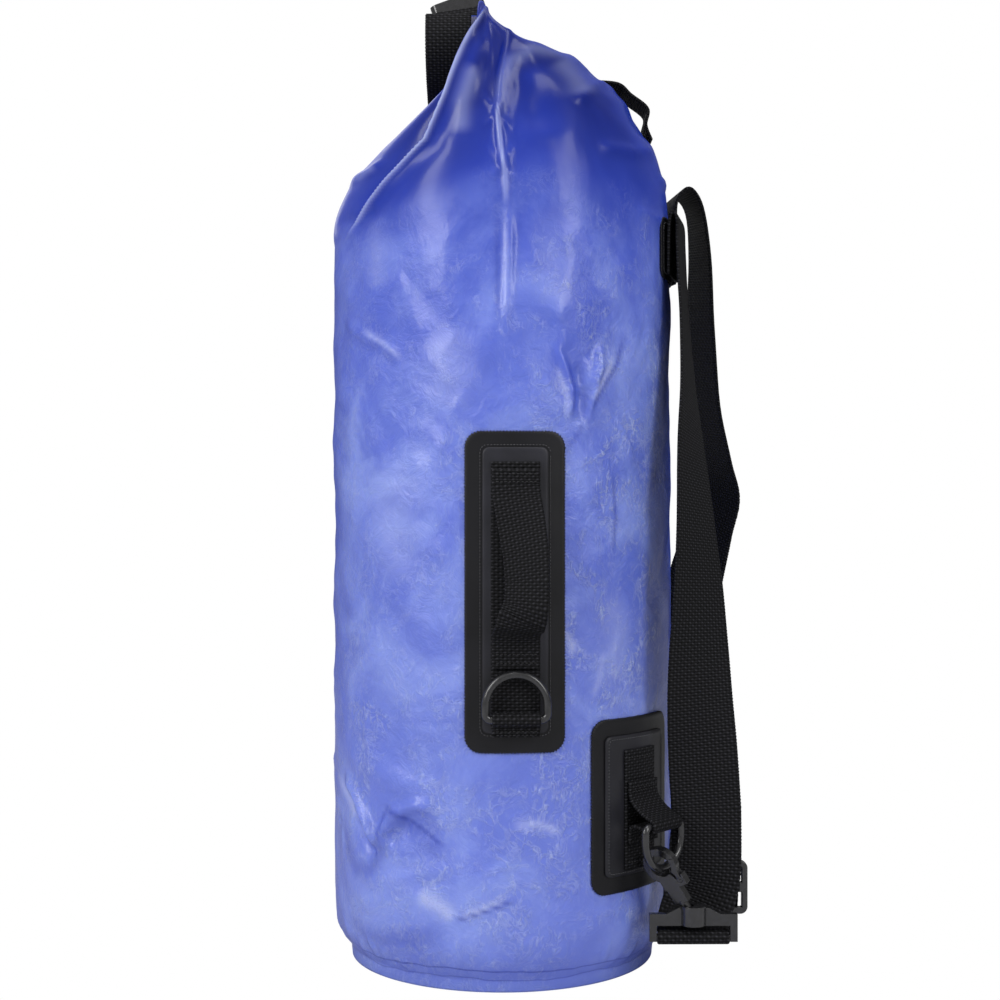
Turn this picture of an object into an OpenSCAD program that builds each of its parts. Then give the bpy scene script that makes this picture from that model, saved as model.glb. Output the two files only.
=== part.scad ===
// Roll-top dry bag worn as a backpack, with side grab handle, two shoulder
// straps on swivel snap hooks and a side-release closing buckle.
// Millimetres. Origin: centre of the round base at its underside.
// +Z up, -Y the front of the bag, +Y the back (strap side), +X the side
// that carries the grab handle.

/* [Bag] */
// outer radius of the filled film tube
body_r = 97; // [80:1:130]
// height where the straight tube ends and the neck starts
tube_top = 405; // [300:1:500]
// film wall thickness
film_t = 0.8; // [0.5:0.1:1.2]
// height of the welded seam flange under the base disc
seam_h = 7; // [5:0.5:12]

/* [Rolled mouth] */
// half width of the loop made by the bent roll
loop_half_w = 52; // [45:1:60]
// half height of the loop made by the bent roll
loop_half_h = 26; // [22:1:32]
// height of the loop centre
loop_z = 514; // [500:1:530]
// width of the flat roll, front to back
roll_w = 34; // [28:1:40]
// thickness of the flat roll
roll_t = 9.6; // [7:0.2:12]

/* [Webbing and hardware] */
// shoulder webbing width
strap_w = 38; // [30:1:40]
// handle and anchor webbing width
web_w = 25; // [20:1:30]
// webbing thickness
web_t = 1.6; // [1.2:0.1:2]
// D-ring wire radius
wire_r = 2.1; // [1.8:0.1:2.5]
// azimuth of the side handle, from +X towards +Y
handle_az = 4; // [0:1:10]

/* [Hidden] */
$fn = 48;
black = [0.06, 0.06, 0.065];
webbing_color = [0.05, 0.05, 0.055];
film_color = [0.22, 0.30, 0.80, 0.9];
base_color = [0.2, 0.28, 0.75];
roll_color = [0.12, 0.18, 0.6];

// layers on the tube wall: patch, panel, sewn webbing
gap = 0.1;
patch_t = 1;
sewn_web_t = 1.4;
patch_r = body_r + gap;
panel_r = patch_r + patch_t + gap;
sewn_web_r = panel_r + patch_t + gap;

roll_y = -25;              // centre of the roll, front to back
mouth_y = -12;             // where the film enters the roll
ring_leg = 7.3;            // D-ring leg length
ring_arc_r = 16.1;         // D-ring arc radius (wire centre)

// snap hook on the +X side
hook_tilt = 31;
hook_len = 33;                                       // eye centre to ball centre
ball = [76.4, 102, 37];                              // swivel ball centre
hook_dir = [0, sin(hook_tilt), -cos(hook_tilt)];     // eye towards ball
eye = ball - hook_len * hook_dir;                    // centre of the hook eye
ring_foot = eye + 2 * hook_dir;                      // lowest wire point of the D-ring
anchor_az = atan2(ring_foot.y, ring_foot.x);
anchor_r = norm([ring_foot.x, ring_foot.y]);
ring_z = ring_foot.z + ring_leg + ring_arc_r;        // height of the D-ring bar
eye_normal = square_to([-sin(anchor_az), cos(anchor_az), 0], hook_dir);
eye_up = -hook_dir;
eye_side = cross(eye_normal, eye_up);                // gate side of the eye

// strap end below the anchor
bar_drop = 10.5;                                     // swivel ball to web bar
bar_r = 1.9;                                         // web bar of the snap frame
bar_z = ball.z - bar_drop;
outer_x = ball.x - 15.6;                             // outer layer of the strap
adjuster_x = ball.x - 20.6;                          // adjuster on the returning layer
strap_y = 111;                                       // centre of the lower strap
adjuster_z = 48.5;

// ---------- helpers ----------
function unit(v) = v / norm(v);
// unit vector of the part of v square to a unit axis
function square_to(v, axis) = unit(v - (v*axis)*axis);

// Catmull-Rom curve through points of any dimension
function smooth(points, steps = 4) = let (last = len(points) - 1) concat(
  [for (k = [0:last-1]) for (j = [0:steps-1])
    let (a = points[max(k-1, 0)], b = points[k],
         c = points[k+1], d = points[min(k+2, last)], u = j/steps)
    0.5*((2*b) + (c-a)*u + (2*a-5*b+4*c-d)*u*u + (3*b-a-3*c+d)*u*u*u)],
  [points[last]]);

// [x, z] points placed in the plane at y, as they are or smoothed
function in_xz(points, y = 0) = [for (p = points) [p.x, y, p.y]];
function smooth_xz(points, y = 0) = in_xz(smooth(points), y);
function arc_point(centre, radius, angle) = centre + radius*[cos(angle), sin(angle)];

// closed band between an outer and an inner grid of points, each row a ring
module shell(outer, inner) {
  rows = len(outer);
  ring = len(outer[0]);
  function out_id(k, j) = k*ring + j % ring;
  function in_id(k, j) = rows*ring + out_id(k, j);
  points = concat([for (row = outer) each row], [for (row = inner) each row]);
  walls = [for (k = [0:rows-2]) for (j = [0:ring-1]) each [
    [out_id(k, j), out_id(k+1, j+1), out_id(k, j+1)],
    [out_id(k, j), out_id(k+1, j), out_id(k+1, j+1)],
    [in_id(k, j), in_id(k, j+1), in_id(k+1, j+1)],
    [in_id(k, j), in_id(k+1, j+1), in_id(k+1, j)]]];
  top = rows - 1;
  rims = [for (j = [0:ring-1]) each [
    [out_id(0, j), out_id(0, j+1), in_id(0, j+1)],
    [out_id(0, j), in_id(0, j+1), in_id(0, j)],
    [out_id(top, j), in_id(top, j+1), out_id(top, j+1)],
    [out_id(top, j), in_id(top, j), in_id(top, j+1)]]];
  polyhedron(points = points, faces = concat(walls, rims), convexity = 8);
}

// flat strip along a list of stations [centre, width direction]
module strip(stations, width, thick) {
  last = len(stations) - 1;
  end = 4*last;
  points = [for (k = [0:last])
    let (mid = stations[k][0],
         along = unit(stations[min(k+1, last)][0] - stations[max(k-1, 0)][0]),
         across = square_to(stations[k][1], along),
         half_w = across*width/2,
         half_t = cross(along, across)*thick/2)
    each [mid + half_w + half_t, mid - half_w + half_t,
          mid - half_w - half_t, mid + half_w - half_t]];
  faces = concat([[0, 1, 2], [0, 2, 3]],
    [for (k = [0:last-1]) for (side = [0:3]) each
      let (a = 4*k + side, b = 4*k + (side+1) % 4) [[a, b+4, b], [a, a+4, b+4]]],
    [[end, end+2, end+1], [end, end+3, end+2]]);
  polyhedron(points = points, faces = faces, convexity = 6);
}

// strip whose width runs along Y
module y_strip(path, width = web_w, thick = web_t)
  strip([for (p = path) [p, [0, 1, 0]]], width, thick);

module rounded(width, height, corner) {
  square([width - 2*corner, height], center = true);
  square([width, height - 2*corner], center = true);
  for (i = [-1, 1], j = [-1, 1])
    translate([i*(width/2 - corner), j*(height/2 - corner)]) circle(corner, $fn = 32);
}

// rounded plate lying on the cylinder of the given radius, facing +X
module curved_plate(radius, thick, width, mid_z, height, corner) {
  half_angle = width/radius*90/PI + 4;
  intersection() {
    rotate([0, 0, -half_angle]) rotate_extrude(angle = 2*half_angle, $fn = 96)
      translate([radius, mid_z - height/2 - 1]) square([thick, height + 2]);
    translate([radius*0.6, 0, mid_z]) rotate([90, 0, 90]) linear_extrude(radius*0.6)
      rounded(width, height, corner);
  }
}

module box(low, high) translate(low) cube(high - low);

// ---------- film ----------
film_cols = 56;
neck_rows = 16;
film_end_angle = 122;      // where the film's edges end on the roll loop
film_clear = 1.2;          // film outside the roll

// tube foot below the straight wall: [radius, z]
foot = [[body_r - 10.4, 0], [body_r - 9.8, seam_h], [body_r - 6.5, seam_h + 5],
        [body_r - 2.6, seam_h + 13], [body_r - 0.5, seam_h + 25], [body_r, seam_h + 40]];
foot_rows = len(foot);
film_last = foot_rows + neck_rows;

// point on the bent roll loop; angle 0 is its lowest point
function loop_point(angle, offset, y) =
  [(loop_half_w + offset)*sin(angle), y, loop_z - (loop_half_h + offset)*cos(angle)];

// azimuths of the film run from +Y towards +X
function loop_angle(az) =
  film_end_angle * (abs(az) <= 90 ? az : sign(az)*(180 - abs(az))) / 90;
function mouth(az) = let (c = cos(az))
  loop_point(loop_angle(az), roll_t/2 + film_clear, mouth_y + 3*sign(c)*pow(abs(c), 0.25));

// Bezier from the tube top (t = 0) to the mouth (t = 1)
function neck(az, t) = let (
    angle = loop_angle(az),
    c = cos(az),
    start = [body_r*sin(az), body_r*c, tube_top],
    start_pull = start + [0, 0, 52 + 13*c],
    bulge = c*c*(c > 0 ? [0, 74, 80] : [0, -16, 10]),
    end = mouth(az),
    end_pull = end - 30*[-sin(angle), 0, cos(angle)] + bulge,
    u = 1 - t)
  u*u*u*start + 3*u*u*t*start_pull + 3*u*t*t*end_pull + t*t*t*end;

film_outer = [for (k = [0:film_last]) [for (j = [0:film_cols-1])
  let (az = -180 + 360*j/film_cols)
  k < foot_rows ? [foot[k][0]*sin(az), foot[k][0]*cos(az), foot[k][1]]
                : neck(az, (k - foot_rows)/neck_rows)]];

function inward(k, j) = let (
    around = film_outer[k][(j+1) % film_cols] - film_outer[k][(j+film_cols-1) % film_cols],
    up = film_outer[min(k+1, film_last)][j] - film_outer[max(k-1, 0)][j])
  unit(cross(around, up));

// the foot is thinned straight towards the axis, the neck along its normals
film_inner = [for (k = [0:film_last]) [for (j = [0:film_cols-1])
  let (p = film_outer[k][j], shrink = 1 - film_t/norm([p.x, p.y]))
  k <= foot_rows ? [p.x*shrink, p.y*shrink, p.z] : p + film_t*inward(k, j)]];

module bag_tube() color(film_color) shell(film_outer, film_inner);

// round base with its rim turned down inside the tube; profile [radius, z]
module base_panel() color(base_color) rotate_extrude($fn = 96)
  polygon([[0, 0], [62, 0], [74, 2.6], [81, 5.2], [84.2, 5.9], [84.7, 0],
           [85.5, 0], [85.5, seam_h], [81, 6.3], [74, 3.7], [62, 1.1], [0, 1.1]]);

// ---------- rolled mouth ----------
function roll_path(offset, y) = [for (angle = [-112:8:112]) loop_point(angle, offset, y)];
module mouth_roll() color(roll_color) y_strip(roll_path(0, roll_y), roll_w, roll_t);
module mouth_web() color(webbing_color)
  y_strip(roll_path(roll_t/2 + web_t/2 + 0.5, roll_y - 4.5));

// ---------- closing buckle (local: X along the buckle, centred) ----------
buckle_z = 538.5;
buckle_tilt = 20;
buckle_w = 30;
buckle_t = 9;
module at_buckle() translate([0, roll_y, buckle_z]) rotate([buckle_tilt, 0, 0]) children();
module buckle_body(mid_x, length)
  translate([mid_x, 0, -buckle_t/2]) linear_extrude(buckle_t) rounded(length, buckle_w, 4);
module webbing_slot(x) box([x, -13.2, -5], [x + 3.6, 13.2, 5]);

module buckle_socket() color(black) at_buckle() difference() {
  buckle_body(mid_x = -12.5, length = 37);
  // cavity and side windows for the prongs
  box([-19, -12, -2.6], [7, 12, 2.6]);
  for (side = [-1, 1]) translate([-9, side*14, 0]) cube([13, 8, 5.2], center = true);
  webbing_slot(-28);
}
module buckle_plug() color(black) at_buckle() {
  difference() {
    buckle_body(mid_x = 18.7, length = 24.6);
    webbing_slot(24.4);
  }
  // side prongs with their catches
  for (side = [-1, 1]) {
    translate([-3.9, side*8.2, 0]) cube([21, 3, 4.6], center = true);
    translate([-9, side*10.2, 0]) cube([9, 3.2, 4.6], center = true);
  }
  // middle tongue
  translate([-2.4, 0, 0]) cube([18, 4, 3], center = true);
}

// closing straps from the ends of the roll to the buckle: [distance from centre, z]
left_closing = [[42.6, 511], [42.2, 516], [39.4, 523.5], [34.6, 531]];
right_closing = [[42.6, 511], [42.2, 516], [40.6, 521], [38.2, 525]];
module buckle_web(side, points) color(webbing_color)
  y_strip(smooth_xz([for (p = points) [side*p.x, p.y]], roll_y));
module buckle_web_left() buckle_web(-1, left_closing);
module buckle_web_right() buckle_web(1, right_closing);

// ---------- D-ring: bar along Y through the origin, arc hanging down ----------
module d_ring() color(black) {
  rotate([90, 0, 0]) cylinder(r = wire_r, h = 2*ring_arc_r, center = true, $fn = 32);
  for (side = [-1, 1]) translate([0, side*ring_arc_r, 0]) {
    sphere(r = wire_r, $fn = 32);
    translate([0, 0, -ring_leg]) cylinder(r = wire_r, h = ring_leg, $fn = 32);
  }
  translate([0, 0, -ring_leg]) rotate([0, 90, 0]) rotate([0, 0, -90])
    rotate_extrude(angle = 180, $fn = 64)
      translate([ring_arc_r, 0]) circle(wire_r, $fn = 32);
}

// ---------- side handle, built on +X and turned to its azimuth ----------
handle_z = 212;
handle_x = body_r + 4.7;                 // centre plane of the sewn handle ends
handle_bar = [body_r + 8.0, 0, 146.3];   // D-ring bar centre
module on_side() rotate([0, 0, handle_az]) children();

module handle_patch() color(black) on_side()
  curved_plate(patch_r, patch_t, width = 53, mid_z = handle_z, height = 168, corner = 8);
module handle_panel() color(black) on_side()
  curved_plate(panel_r, patch_t, width = 34, mid_z = handle_z + 1, height = 149, corner = 3);
module handle_base_web() color(webbing_color) on_side()
  curved_plate(sewn_web_r, sewn_web_t, web_w, mid_z = 210.5, height = 139, corner = 0.5);

// webbing through points [x beyond handle_x, z]
module handle_strip(points) color(webbing_color) on_side()
  y_strip(smooth_xz([for (p = points) [handle_x + p.x, p.y]]));
module grab_handle_top_end() handle_strip([[0, 276], [0, 268], [1.4, 261], [4, 254]]);
module grab_handle() handle_strip(
  [[5.6, 250], [10.5, 236], [15, 219], [16, 206], [12.5, 197.5], [7, 193.5]]);
module grab_handle_bottom_end()
  handle_strip([[3.6, 190.5], [0.9, 186.5], [0, 181], [0, 172.5]]);

// arc turned upwards
module handle_d_ring() on_side() translate(handle_bar) rotate([180, 0, 0]) d_ring();
// webbing round the D-ring bar, with a tail below on the bag side
module handle_ring_loop() color(webbing_color) on_side() {
  bore_r = wire_r + 0.12;
  tail_x = body_r + 3.85;
  difference() {
    union() {
      translate(handle_bar) rotate([90, 0, 0])
        cylinder(r = bore_r + web_t, h = web_w, center = true, $fn = 48);
      box([tail_x, -web_w/2, 140.5], [tail_x + web_t, web_w/2, handle_bar.z]);
    }
    translate(handle_bar) rotate([90, 0, 0])
      cylinder(r = bore_r, h = web_w + 2, center = true, $fn = 48);
  }
}

// ---------- upper back ----------
module upper_back_patch() color(black) rotate([0, 0, 90])
  curved_plate(patch_r, patch_t, width = 86, mid_z = 401, height = 34, corner = 6);

// loop standing off the back of the neck, between two points on it
module haul_loop() color(webbing_color) {
  upper = neck(0, 0.655);
  lower = neck(0, 0.40);
  upper_out = [0, 0.35, 0.94];
  lower_out = [0, 0.86, 0.5];
  path = smooth([
    upper + upper_out*2.2 + [0, -9, 0.5],
    upper + upper_out*2.2,
    upper + upper_out*5.5 + [0, 12, -4.5],
    (upper + lower)/2 + 9.5*[0, 0.72, 0.69],
    lower + lower_out*6.5 + [0, -3, 7],
    lower + lower_out*1.9,
    lower + lower_out*1.9 + [0, 3.2, -8.5]]);
  strip([for (p = path) [p, [1, 0, 0]]], web_w, web_t);
}

// ---------- shoulder straps ----------
root_az = 12.5;                          // sewn upper end, from +Y towards +X
root_x = (body_r + 2.15) * sin(root_az);
root_y = (body_r + 2.15) * cos(root_az);

// centre line from top to bottom: [x, y, z, twist about Z]; the left one is mirrored
right_points = [
  [root_x, root_y, 386, root_az], [root_x, root_y, 407, root_az],
  [root_x + 0.1, root_y + 0.5, 416.5, root_az], [root_x + 0.5, root_y + 2.4, 421, root_az],
  [root_x + 1.0, root_y + 4.3, 416.5, root_az], [root_x + 1.4, root_y + 4.6, 405, root_az],
  [26.5, 101.8, 385, 12], [32, 103, 355, 13], [41, 104, 318, 19], [49, 104.6, 285, 29],
  [55, 106, 250, 38], [59.5, 107, 215, 49], [61.5, 107, 180, 62], [62, 107.5, 152, 74],
  [61.2, 109, 125, 86], [61, 109.8, 111, 90]];
left_points = [
  [root_x, root_y, 386, root_az], [root_x, root_y, 404, root_az],
  [root_x + 0.3, root_y + 1.0, 420, 11], [24, 99.8, 435, 8], [25, 107.5, 443, 6],
  [27, 115.2, 433, 7], [30.5, 118.8, 405, 12], [36, 120, 365, 16], [43, 124, 318, 18],
  [49.5, 130.5, 285, 22], [56, 134, 262, 32], [59.5, 127, 238, 44], [62, 118.5, 205, 56],
  [62.6, 112, 170, 70], [61.6, 110, 140, 82], [61, 109.8, 111, 90]];

module strap(points) strip(
  [for (q = smooth(points, 3)) [[q[0], q[1], q[2]], [cos(q[3]), -sin(q[3]), 0]]],
  strap_w, web_t);
module shoulder_strap_right() color(webbing_color) strap(right_points);
module shoulder_strap_left() color(webbing_color) mirror([1, 0, 0]) strap(left_points);

// ---------- lower anchor (from here on +X side; mirrored for the left) ----------
module at_anchor() rotate([0, 0, anchor_az]) children();
module anchor_patch() color(black) at_anchor()
  curved_plate(patch_r, patch_t, width = 66, mid_z = 96.5, height = 93, corner = 8);
module anchor_panel() color(black) at_anchor()
  curved_plate(panel_r, patch_t, width = 50, mid_z = 96.5, height = 75, corner = 3);
module anchor_web() color(webbing_color) at_anchor()
  curved_plate(sewn_web_r, sewn_web_t, web_w, mid_z = 94, height = 64, corner = 0.5);

// webbing down from the bag, round the D-ring bar and back; points [x, z]
module anchor_tab() color(webbing_color) at_anchor() {
  bar = [anchor_r, ring_z];
  wrap_r = wire_r + 0.15 + web_t/2;
  sewn_x = body_r + 4.75;
  outward = [[sewn_x, ring_z + 22], [sewn_x, ring_z + 15.5], [sewn_x + 2.2, ring_z + 10.8],
    [anchor_r - 5, ring_z + 5.9], arc_point(bar, wrap_r, 65)];
  wrap = [for (angle = [53:-12:-115]) arc_point(bar, wrap_r, angle)];
  back = [arc_point(bar, wrap_r, -127), [anchor_r - 6.4, ring_z - 1.6],
    [sewn_x + 1.6, ring_z - 1.2], [sewn_x, ring_z - 5], [sewn_x, ring_z - 11]];
  y_strip(concat(smooth_xz(outward), in_xz(wrap), smooth_xz(back)));
}
module anchor_d_ring() at_anchor() translate([anchor_r, 0, ring_z]) d_ring();

// ---------- swivel snap hook ----------
frame_w = 47;
frame_t = 4;
post_w = 3.9;
module snap_frame() color(black) translate(ball) difference() {
  union() {
    // cross rail, end posts, web bar
    translate([-frame_t/2, -frame_w/2, -4]) cube([frame_t, frame_w, 6.2]);
    for (side = [-1, 1])
      translate([-frame_t/2, side*(frame_w - post_w)/2 - post_w/2, -12.5])
        cube([frame_t, post_w, 10]);
    translate([0, 0, -bar_drop]) rotate([90, 0, 0])
      cylinder(r = bar_r, h = 43, center = true, $fn = 32);
    // sloping shoulders
    translate([-frame_t/2, 0, 0]) rotate([90, 0, 90]) linear_extrude(frame_t)
      polygon([[-15, 2], [-8, 5.6], [8, 5.6], [15, 2]]);
    // swivel barrel
    translate([0, 0, -3.6]) cylinder(r = 7, h = 10.2, $fn = 48);
  }
  // socket for the ball and the mouth the neck comes out of
  sphere(r = 4.1, $fn = 48);
  rotate([hook_tilt, 0, 0]) cylinder(r1 = 2.9, r2 = 4.6, h = 14, $fn = 48);
}

// local: eye centre at origin, X gate side, Y eye normal, -Z to the ball
module at_eye() multmatrix([
  [eye_side.x, eye_normal.x, eye_up.x, eye.x],
  [eye_side.y, eye_normal.y, eye_up.y, eye.y],
  [eye_side.z, eye_normal.z, eye_up.z, eye.z],
  [0, 0, 0, 1]]) children();
module eye_extrude(thick)
  rotate([90, 0, 0]) translate([0, 0, -thick/2]) linear_extrude(thick) children();

gate_pivot = [6.9, -10.3];
module snap_hook() color(black) at_eye() {
  eye_extrude(4.2) difference() {
    union() {
      circle(10, $fn = 64);
      translate([-4.4, -23]) square([8.8, 16]);
      translate([-5.5, -14]) square([15.3, 6.2]);
    }
    circle(6.2, $fn = 64);
    // gap closed by the gate, with its end face curved about the gate's hub
    intersection() {
      polygon([[0, 0], [14, 4.2], [14, -7.8], [4.3, -7.8], [2.2, -5.2]]);
      translate(gate_pivot) circle(12.2, $fn = 96);
    }
    // pocket the gate's hub turns in
    translate(gate_pivot) circle(1.88, $fn = 48);
    polygon([[5.2, -10.3], [3.9, -7.7], [8.9, -7.7], [8.6, -10.3]]);
  }
  // neck and ball
  translate([0, 0, 2 - hook_len]) cylinder(r = 2.4, h = 9.2, $fn = 32);
  translate([0, 0, -hook_len]) sphere(r = 4, $fn = 48);
}

// lever that closes the gap, turning on its hub
module snap_gate() color(black) at_eye() eye_extrude(3.9) {
  intersection() {
    difference() {
      circle(9.8, $fn = 64);
      circle(6.6, $fn = 64);
    }
    polygon([[0, 0], [14, 4.0], [14, -7.5], [5.6, -7.5], [3.9, -3.8]]);
    translate(gate_pivot) circle(12.0, $fn = 96);
  }
  polygon([[5.7, -7.0], [8.3, -5.0], [8.2, -7.6], [8.0, -10.3], [5.8, -10.3], [5.6, -8.2]]);
  translate(gate_pivot) circle(1.8, $fn = 48);
}

// ---------- lower end of the shoulder strap ----------
// down the outer layer, round the web bar and back up to the adjuster
module strap_loop() color(webbing_color) {
  wrap_r = bar_r + 0.15 + web_t/2;
  over = bar_z + wrap_r;
  under = bar_z - wrap_r;
  down = [[outer_x, 110, 106], [outer_x, strap_y, 92], [outer_x, strap_y, 62],
    [outer_x + 0.3, 109, 48], [outer_x + 2.2, 105.5, 39], [outer_x + 5.6, 103.2, 33.2],
    [outer_x + 9.8, 102.3, over + 0.35], [ball.x - 1, ball.y, over]];
  wrap = [for (angle = [90:-15:-90]) arc_point([ball.x, bar_z], wrap_r, angle)];
  back = [[ball.x - 3, ball.y, under], [ball.x - 9, 102.6, under + 0.3],
    [ball.x - 15.5, 104.5, under + 1.6], [adjuster_x + 0.8, 107.5, 28.3],
    [adjuster_x, 109, 32]];
  y_strip(concat(smooth(down), in_xz(wrap, ball.y), smooth(back)), strap_w);
}

module at_adjuster() translate([adjuster_x, strap_y, adjuster_z]) children();
module strap_adjuster() color(black) at_adjuster() rotate([90, 0, 90])
  translate([0, 0, -2]) linear_extrude(4) difference() {
    rounded(46, 29, 4);
    for (side = [-1, 1]) translate([0, side*6.7]) square([39.4, 8.2], center = true);
  }
// webbing sleeve round the adjuster's middle bar
module strap_end() color(webbing_color) at_adjuster() difference() {
  cube([7.4, strap_w, 8.8], center = true);
  cube([4.2, strap_w + 2, 5.4], center = true);
}

module left() mirror([1, 0, 0]) children();

bag_tube();
base_panel();
mouth_roll();
mouth_web();
buckle_socket();
buckle_web_left();
buckle_web_right();
buckle_plug();
handle_patch();
handle_panel();
handle_base_web();
handle_ring_loop();
grab_handle_top_end();
grab_handle_bottom_end();
grab_handle();
handle_d_ring();
upper_back_patch();
haul_loop();
shoulder_strap_right();
shoulder_strap_left();
anchor_patch();  // anchor_patch_right
anchor_panel();  // anchor_panel_right
anchor_web();  // anchor_web_right
anchor_tab();  // anchor_tab_right
anchor_d_ring();  // anchor_d_ring_right
snap_frame();  // snap_frame_right
snap_hook();  // snap_hook_right
snap_gate();  // snap_gate_right
strap_loop();  // strap_loop_right
strap_adjuster();  // strap_adjuster_right
strap_end();  // strap_end_right
left() anchor_patch();  // anchor_patch_left
left() anchor_panel();  // anchor_panel_left
left() anchor_web();  // anchor_web_left
left() anchor_tab();  // anchor_tab_left
left() anchor_d_ring();  // anchor_d_ring_left
left() snap_frame();  // snap_frame_left
left() snap_hook();  // snap_hook_left
left() snap_gate();  // snap_gate_left
left() strap_loop();  // strap_loop_left
left() strap_adjuster();  // strap_adjuster_left
left() strap_end();  // strap_end_left
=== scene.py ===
"""A roll-top dry bag with shoulder straps, a grab handle and a buckled mouth.

The bag stands on z = 0 with its axis on Z.  The shoulder straps hang on its back, +Y, and its
front faces -Y.  "Right" is +X: the grab handle is on that side and the camera looks at it.
Shapes are worked out in millimetres and stored in metres.  Stage, lights and camera are in metres.

Two angles are used, both in degrees: an "angle" on the film runs from +Y towards +X, and an
"azimuth" runs from +X towards +Y.
"""
import math
import bmesh
import bpy
import numpy as np
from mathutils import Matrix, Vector


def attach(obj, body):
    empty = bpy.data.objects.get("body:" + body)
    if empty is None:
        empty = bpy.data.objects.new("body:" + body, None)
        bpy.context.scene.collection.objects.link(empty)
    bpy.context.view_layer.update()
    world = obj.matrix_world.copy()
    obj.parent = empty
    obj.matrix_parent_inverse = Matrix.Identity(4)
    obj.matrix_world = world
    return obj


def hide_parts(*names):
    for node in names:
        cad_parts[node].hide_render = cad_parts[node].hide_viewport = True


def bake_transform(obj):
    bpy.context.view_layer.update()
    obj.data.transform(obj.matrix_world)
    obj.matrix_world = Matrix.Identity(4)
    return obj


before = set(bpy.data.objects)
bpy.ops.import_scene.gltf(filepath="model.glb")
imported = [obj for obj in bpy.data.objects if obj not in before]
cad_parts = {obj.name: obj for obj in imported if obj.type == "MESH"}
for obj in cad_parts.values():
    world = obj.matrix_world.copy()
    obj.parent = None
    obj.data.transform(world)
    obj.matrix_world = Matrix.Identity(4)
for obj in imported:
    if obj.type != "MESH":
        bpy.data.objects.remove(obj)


# ---------------------------------------------------------------- driving sizes (mm), as in the CAD
MM = 0.001
BAG_RADIUS = 97.0
TUBE_TOP = 405.0            # where the round tube ends and the neck begins
NECK_HEIGHT = 140           # nominal height given to the neck when its film is laid out

# the rolled mouth, bent into an oval loop in the XZ plane
LOOP_HALF_WIDTH, LOOP_HALF_HEIGHT, LOOP_Z = 52.0, 26.0, 514.0
ROLL_Y = -25.0
ROLL_THICKNESS = 9.6

# the snap hook leans in the YZ plane; its eye meets the anchor ring
HOOK_LEAN = math.radians(31)
HOOK_DIRECTION = np.array([0, math.sin(HOOK_LEAN), -math.cos(HOOK_LEAN)])
HOOK_BALL = np.array([76.4, 102.0, 37.0])
HOOK_EYE = HOOK_BALL - 33 * HOOK_DIRECTION
ANCHOR_POINT = HOOK_EYE + 2 * HOOK_DIRECTION
ANCHOR_AZIMUTH = math.degrees(math.atan2(ANCHOR_POINT[1], ANCHOR_POINT[0]))
ANCHOR_RADIUS = math.hypot(ANCHOR_POINT[0], ANCHOR_POINT[1])
ANCHOR_RING_Z = ANCHOR_POINT[2] + 23.4
HANDLE_AZIMUTH = 4.0
BACK_AZIMUTH = 90

# sewn patches: height of the centre, then width and height
HANDLE_PATCH = (212, 53, 168)
ANCHOR_PATCH = (96.5, 66, 93)
BACK_PATCH = (401, 86, 34)

WEB_WIDTH = 25
WEB_THICKNESS = 1.6
THIN_WEB = 1.4
RING_WIRE_RADIUS = 2.1
SIDES = (("right", 1), ("left", -1))


def anchor_azimuth(sign):
    return ANCHOR_AZIMUTH if sign > 0 else 180 - ANCHOR_AZIMUTH


def sind(angle):
    return np.sin(np.radians(angle))


def cosd(angle):
    return np.cos(np.radians(angle))


# ---------------------------------------------------------------- materials
class Shader:
    """A node tree with short ways to add nodes. Inputs take a number, a vector or a socket."""

    def __init__(self, tree):
        self.tree = tree

    def put(self, socket, value):
        if isinstance(value, bpy.types.NodeSocket):
            self.tree.links.new(value, socket)
        else:
            socket.default_value = value

    def fill(self, node, inputs):
        for name, value in inputs.items():
            self.put(node.inputs[name], value)

    def node(self, kind, inputs=None):
        node = self.tree.nodes.new(kind)
        self.fill(node, inputs or {})
        return node

    def math(self, operation, *operands, clamp=False):
        node = self.node("ShaderNodeMath")
        node.operation = operation
        node.use_clamp = clamp
        for socket, value in zip(node.inputs, operands):
            self.put(socket, value)
        return node.outputs[0]

    def add(self, a, b, clamp=False):
        return self.math("ADD", a, b, clamp=clamp)

    def sub(self, a, b, clamp=False):
        return self.math("SUBTRACT", a, b, clamp=clamp)

    def mul(self, a, b, clamp=False):
        return self.math("MULTIPLY", a, b, clamp=clamp)

    def mix(self, factor, first, second):
        """Blend two colours; a plain colour is (red, green, blue)."""
        node = self.node("ShaderNodeMix")
        node.data_type = "RGBA"
        node.blend_type = "MIX"
        self.put(node.inputs[0], factor)
        for index, colour in ((6, first), (7, second)):
            colour = (*colour, 1) if isinstance(colour, tuple) else colour
            self.put(node.inputs[index], colour)
        return node.outputs[2]

    def ramp(self, value, stops, interpolation="LINEAR"):
        """Colour ramp; stops are (position, (red, green, blue))."""
        node = self.node("ShaderNodeValToRGB", {0: value})
        node.color_ramp.interpolation = interpolation
        elements = node.color_ramp.elements
        while len(elements) > 1:
            elements.remove(elements[-1])
        elements[0].position, elements[0].color = stops[0][0], (*stops[0][1], 1)
        for position, colour in stops[1:]:
            elements.new(position).color = (*colour, 1)
        return node.outputs[0]

    def fade(self, value, low, high):
        """0 below low, 1 above high, eased between."""
        return self.ramp(value, [(low, grey(0)), (high, grey(1))], "EASE")

    def noise(self, place, scale, detail, roughness=0.5, distortion=0.0):
        return self.node("ShaderNodeTexNoise", {
            "Vector": place, "Scale": scale, "Detail": detail,
            "Roughness": roughness, "Distortion": distortion}).outputs[0]

    def bump(self, **inputs):
        return self.node("ShaderNodeBump", inputs).outputs[0]

    def object_place(self):
        return self.node("ShaderNodeTexCoord").outputs["Object"]


def grey(level):
    return (level, level, level)


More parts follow.
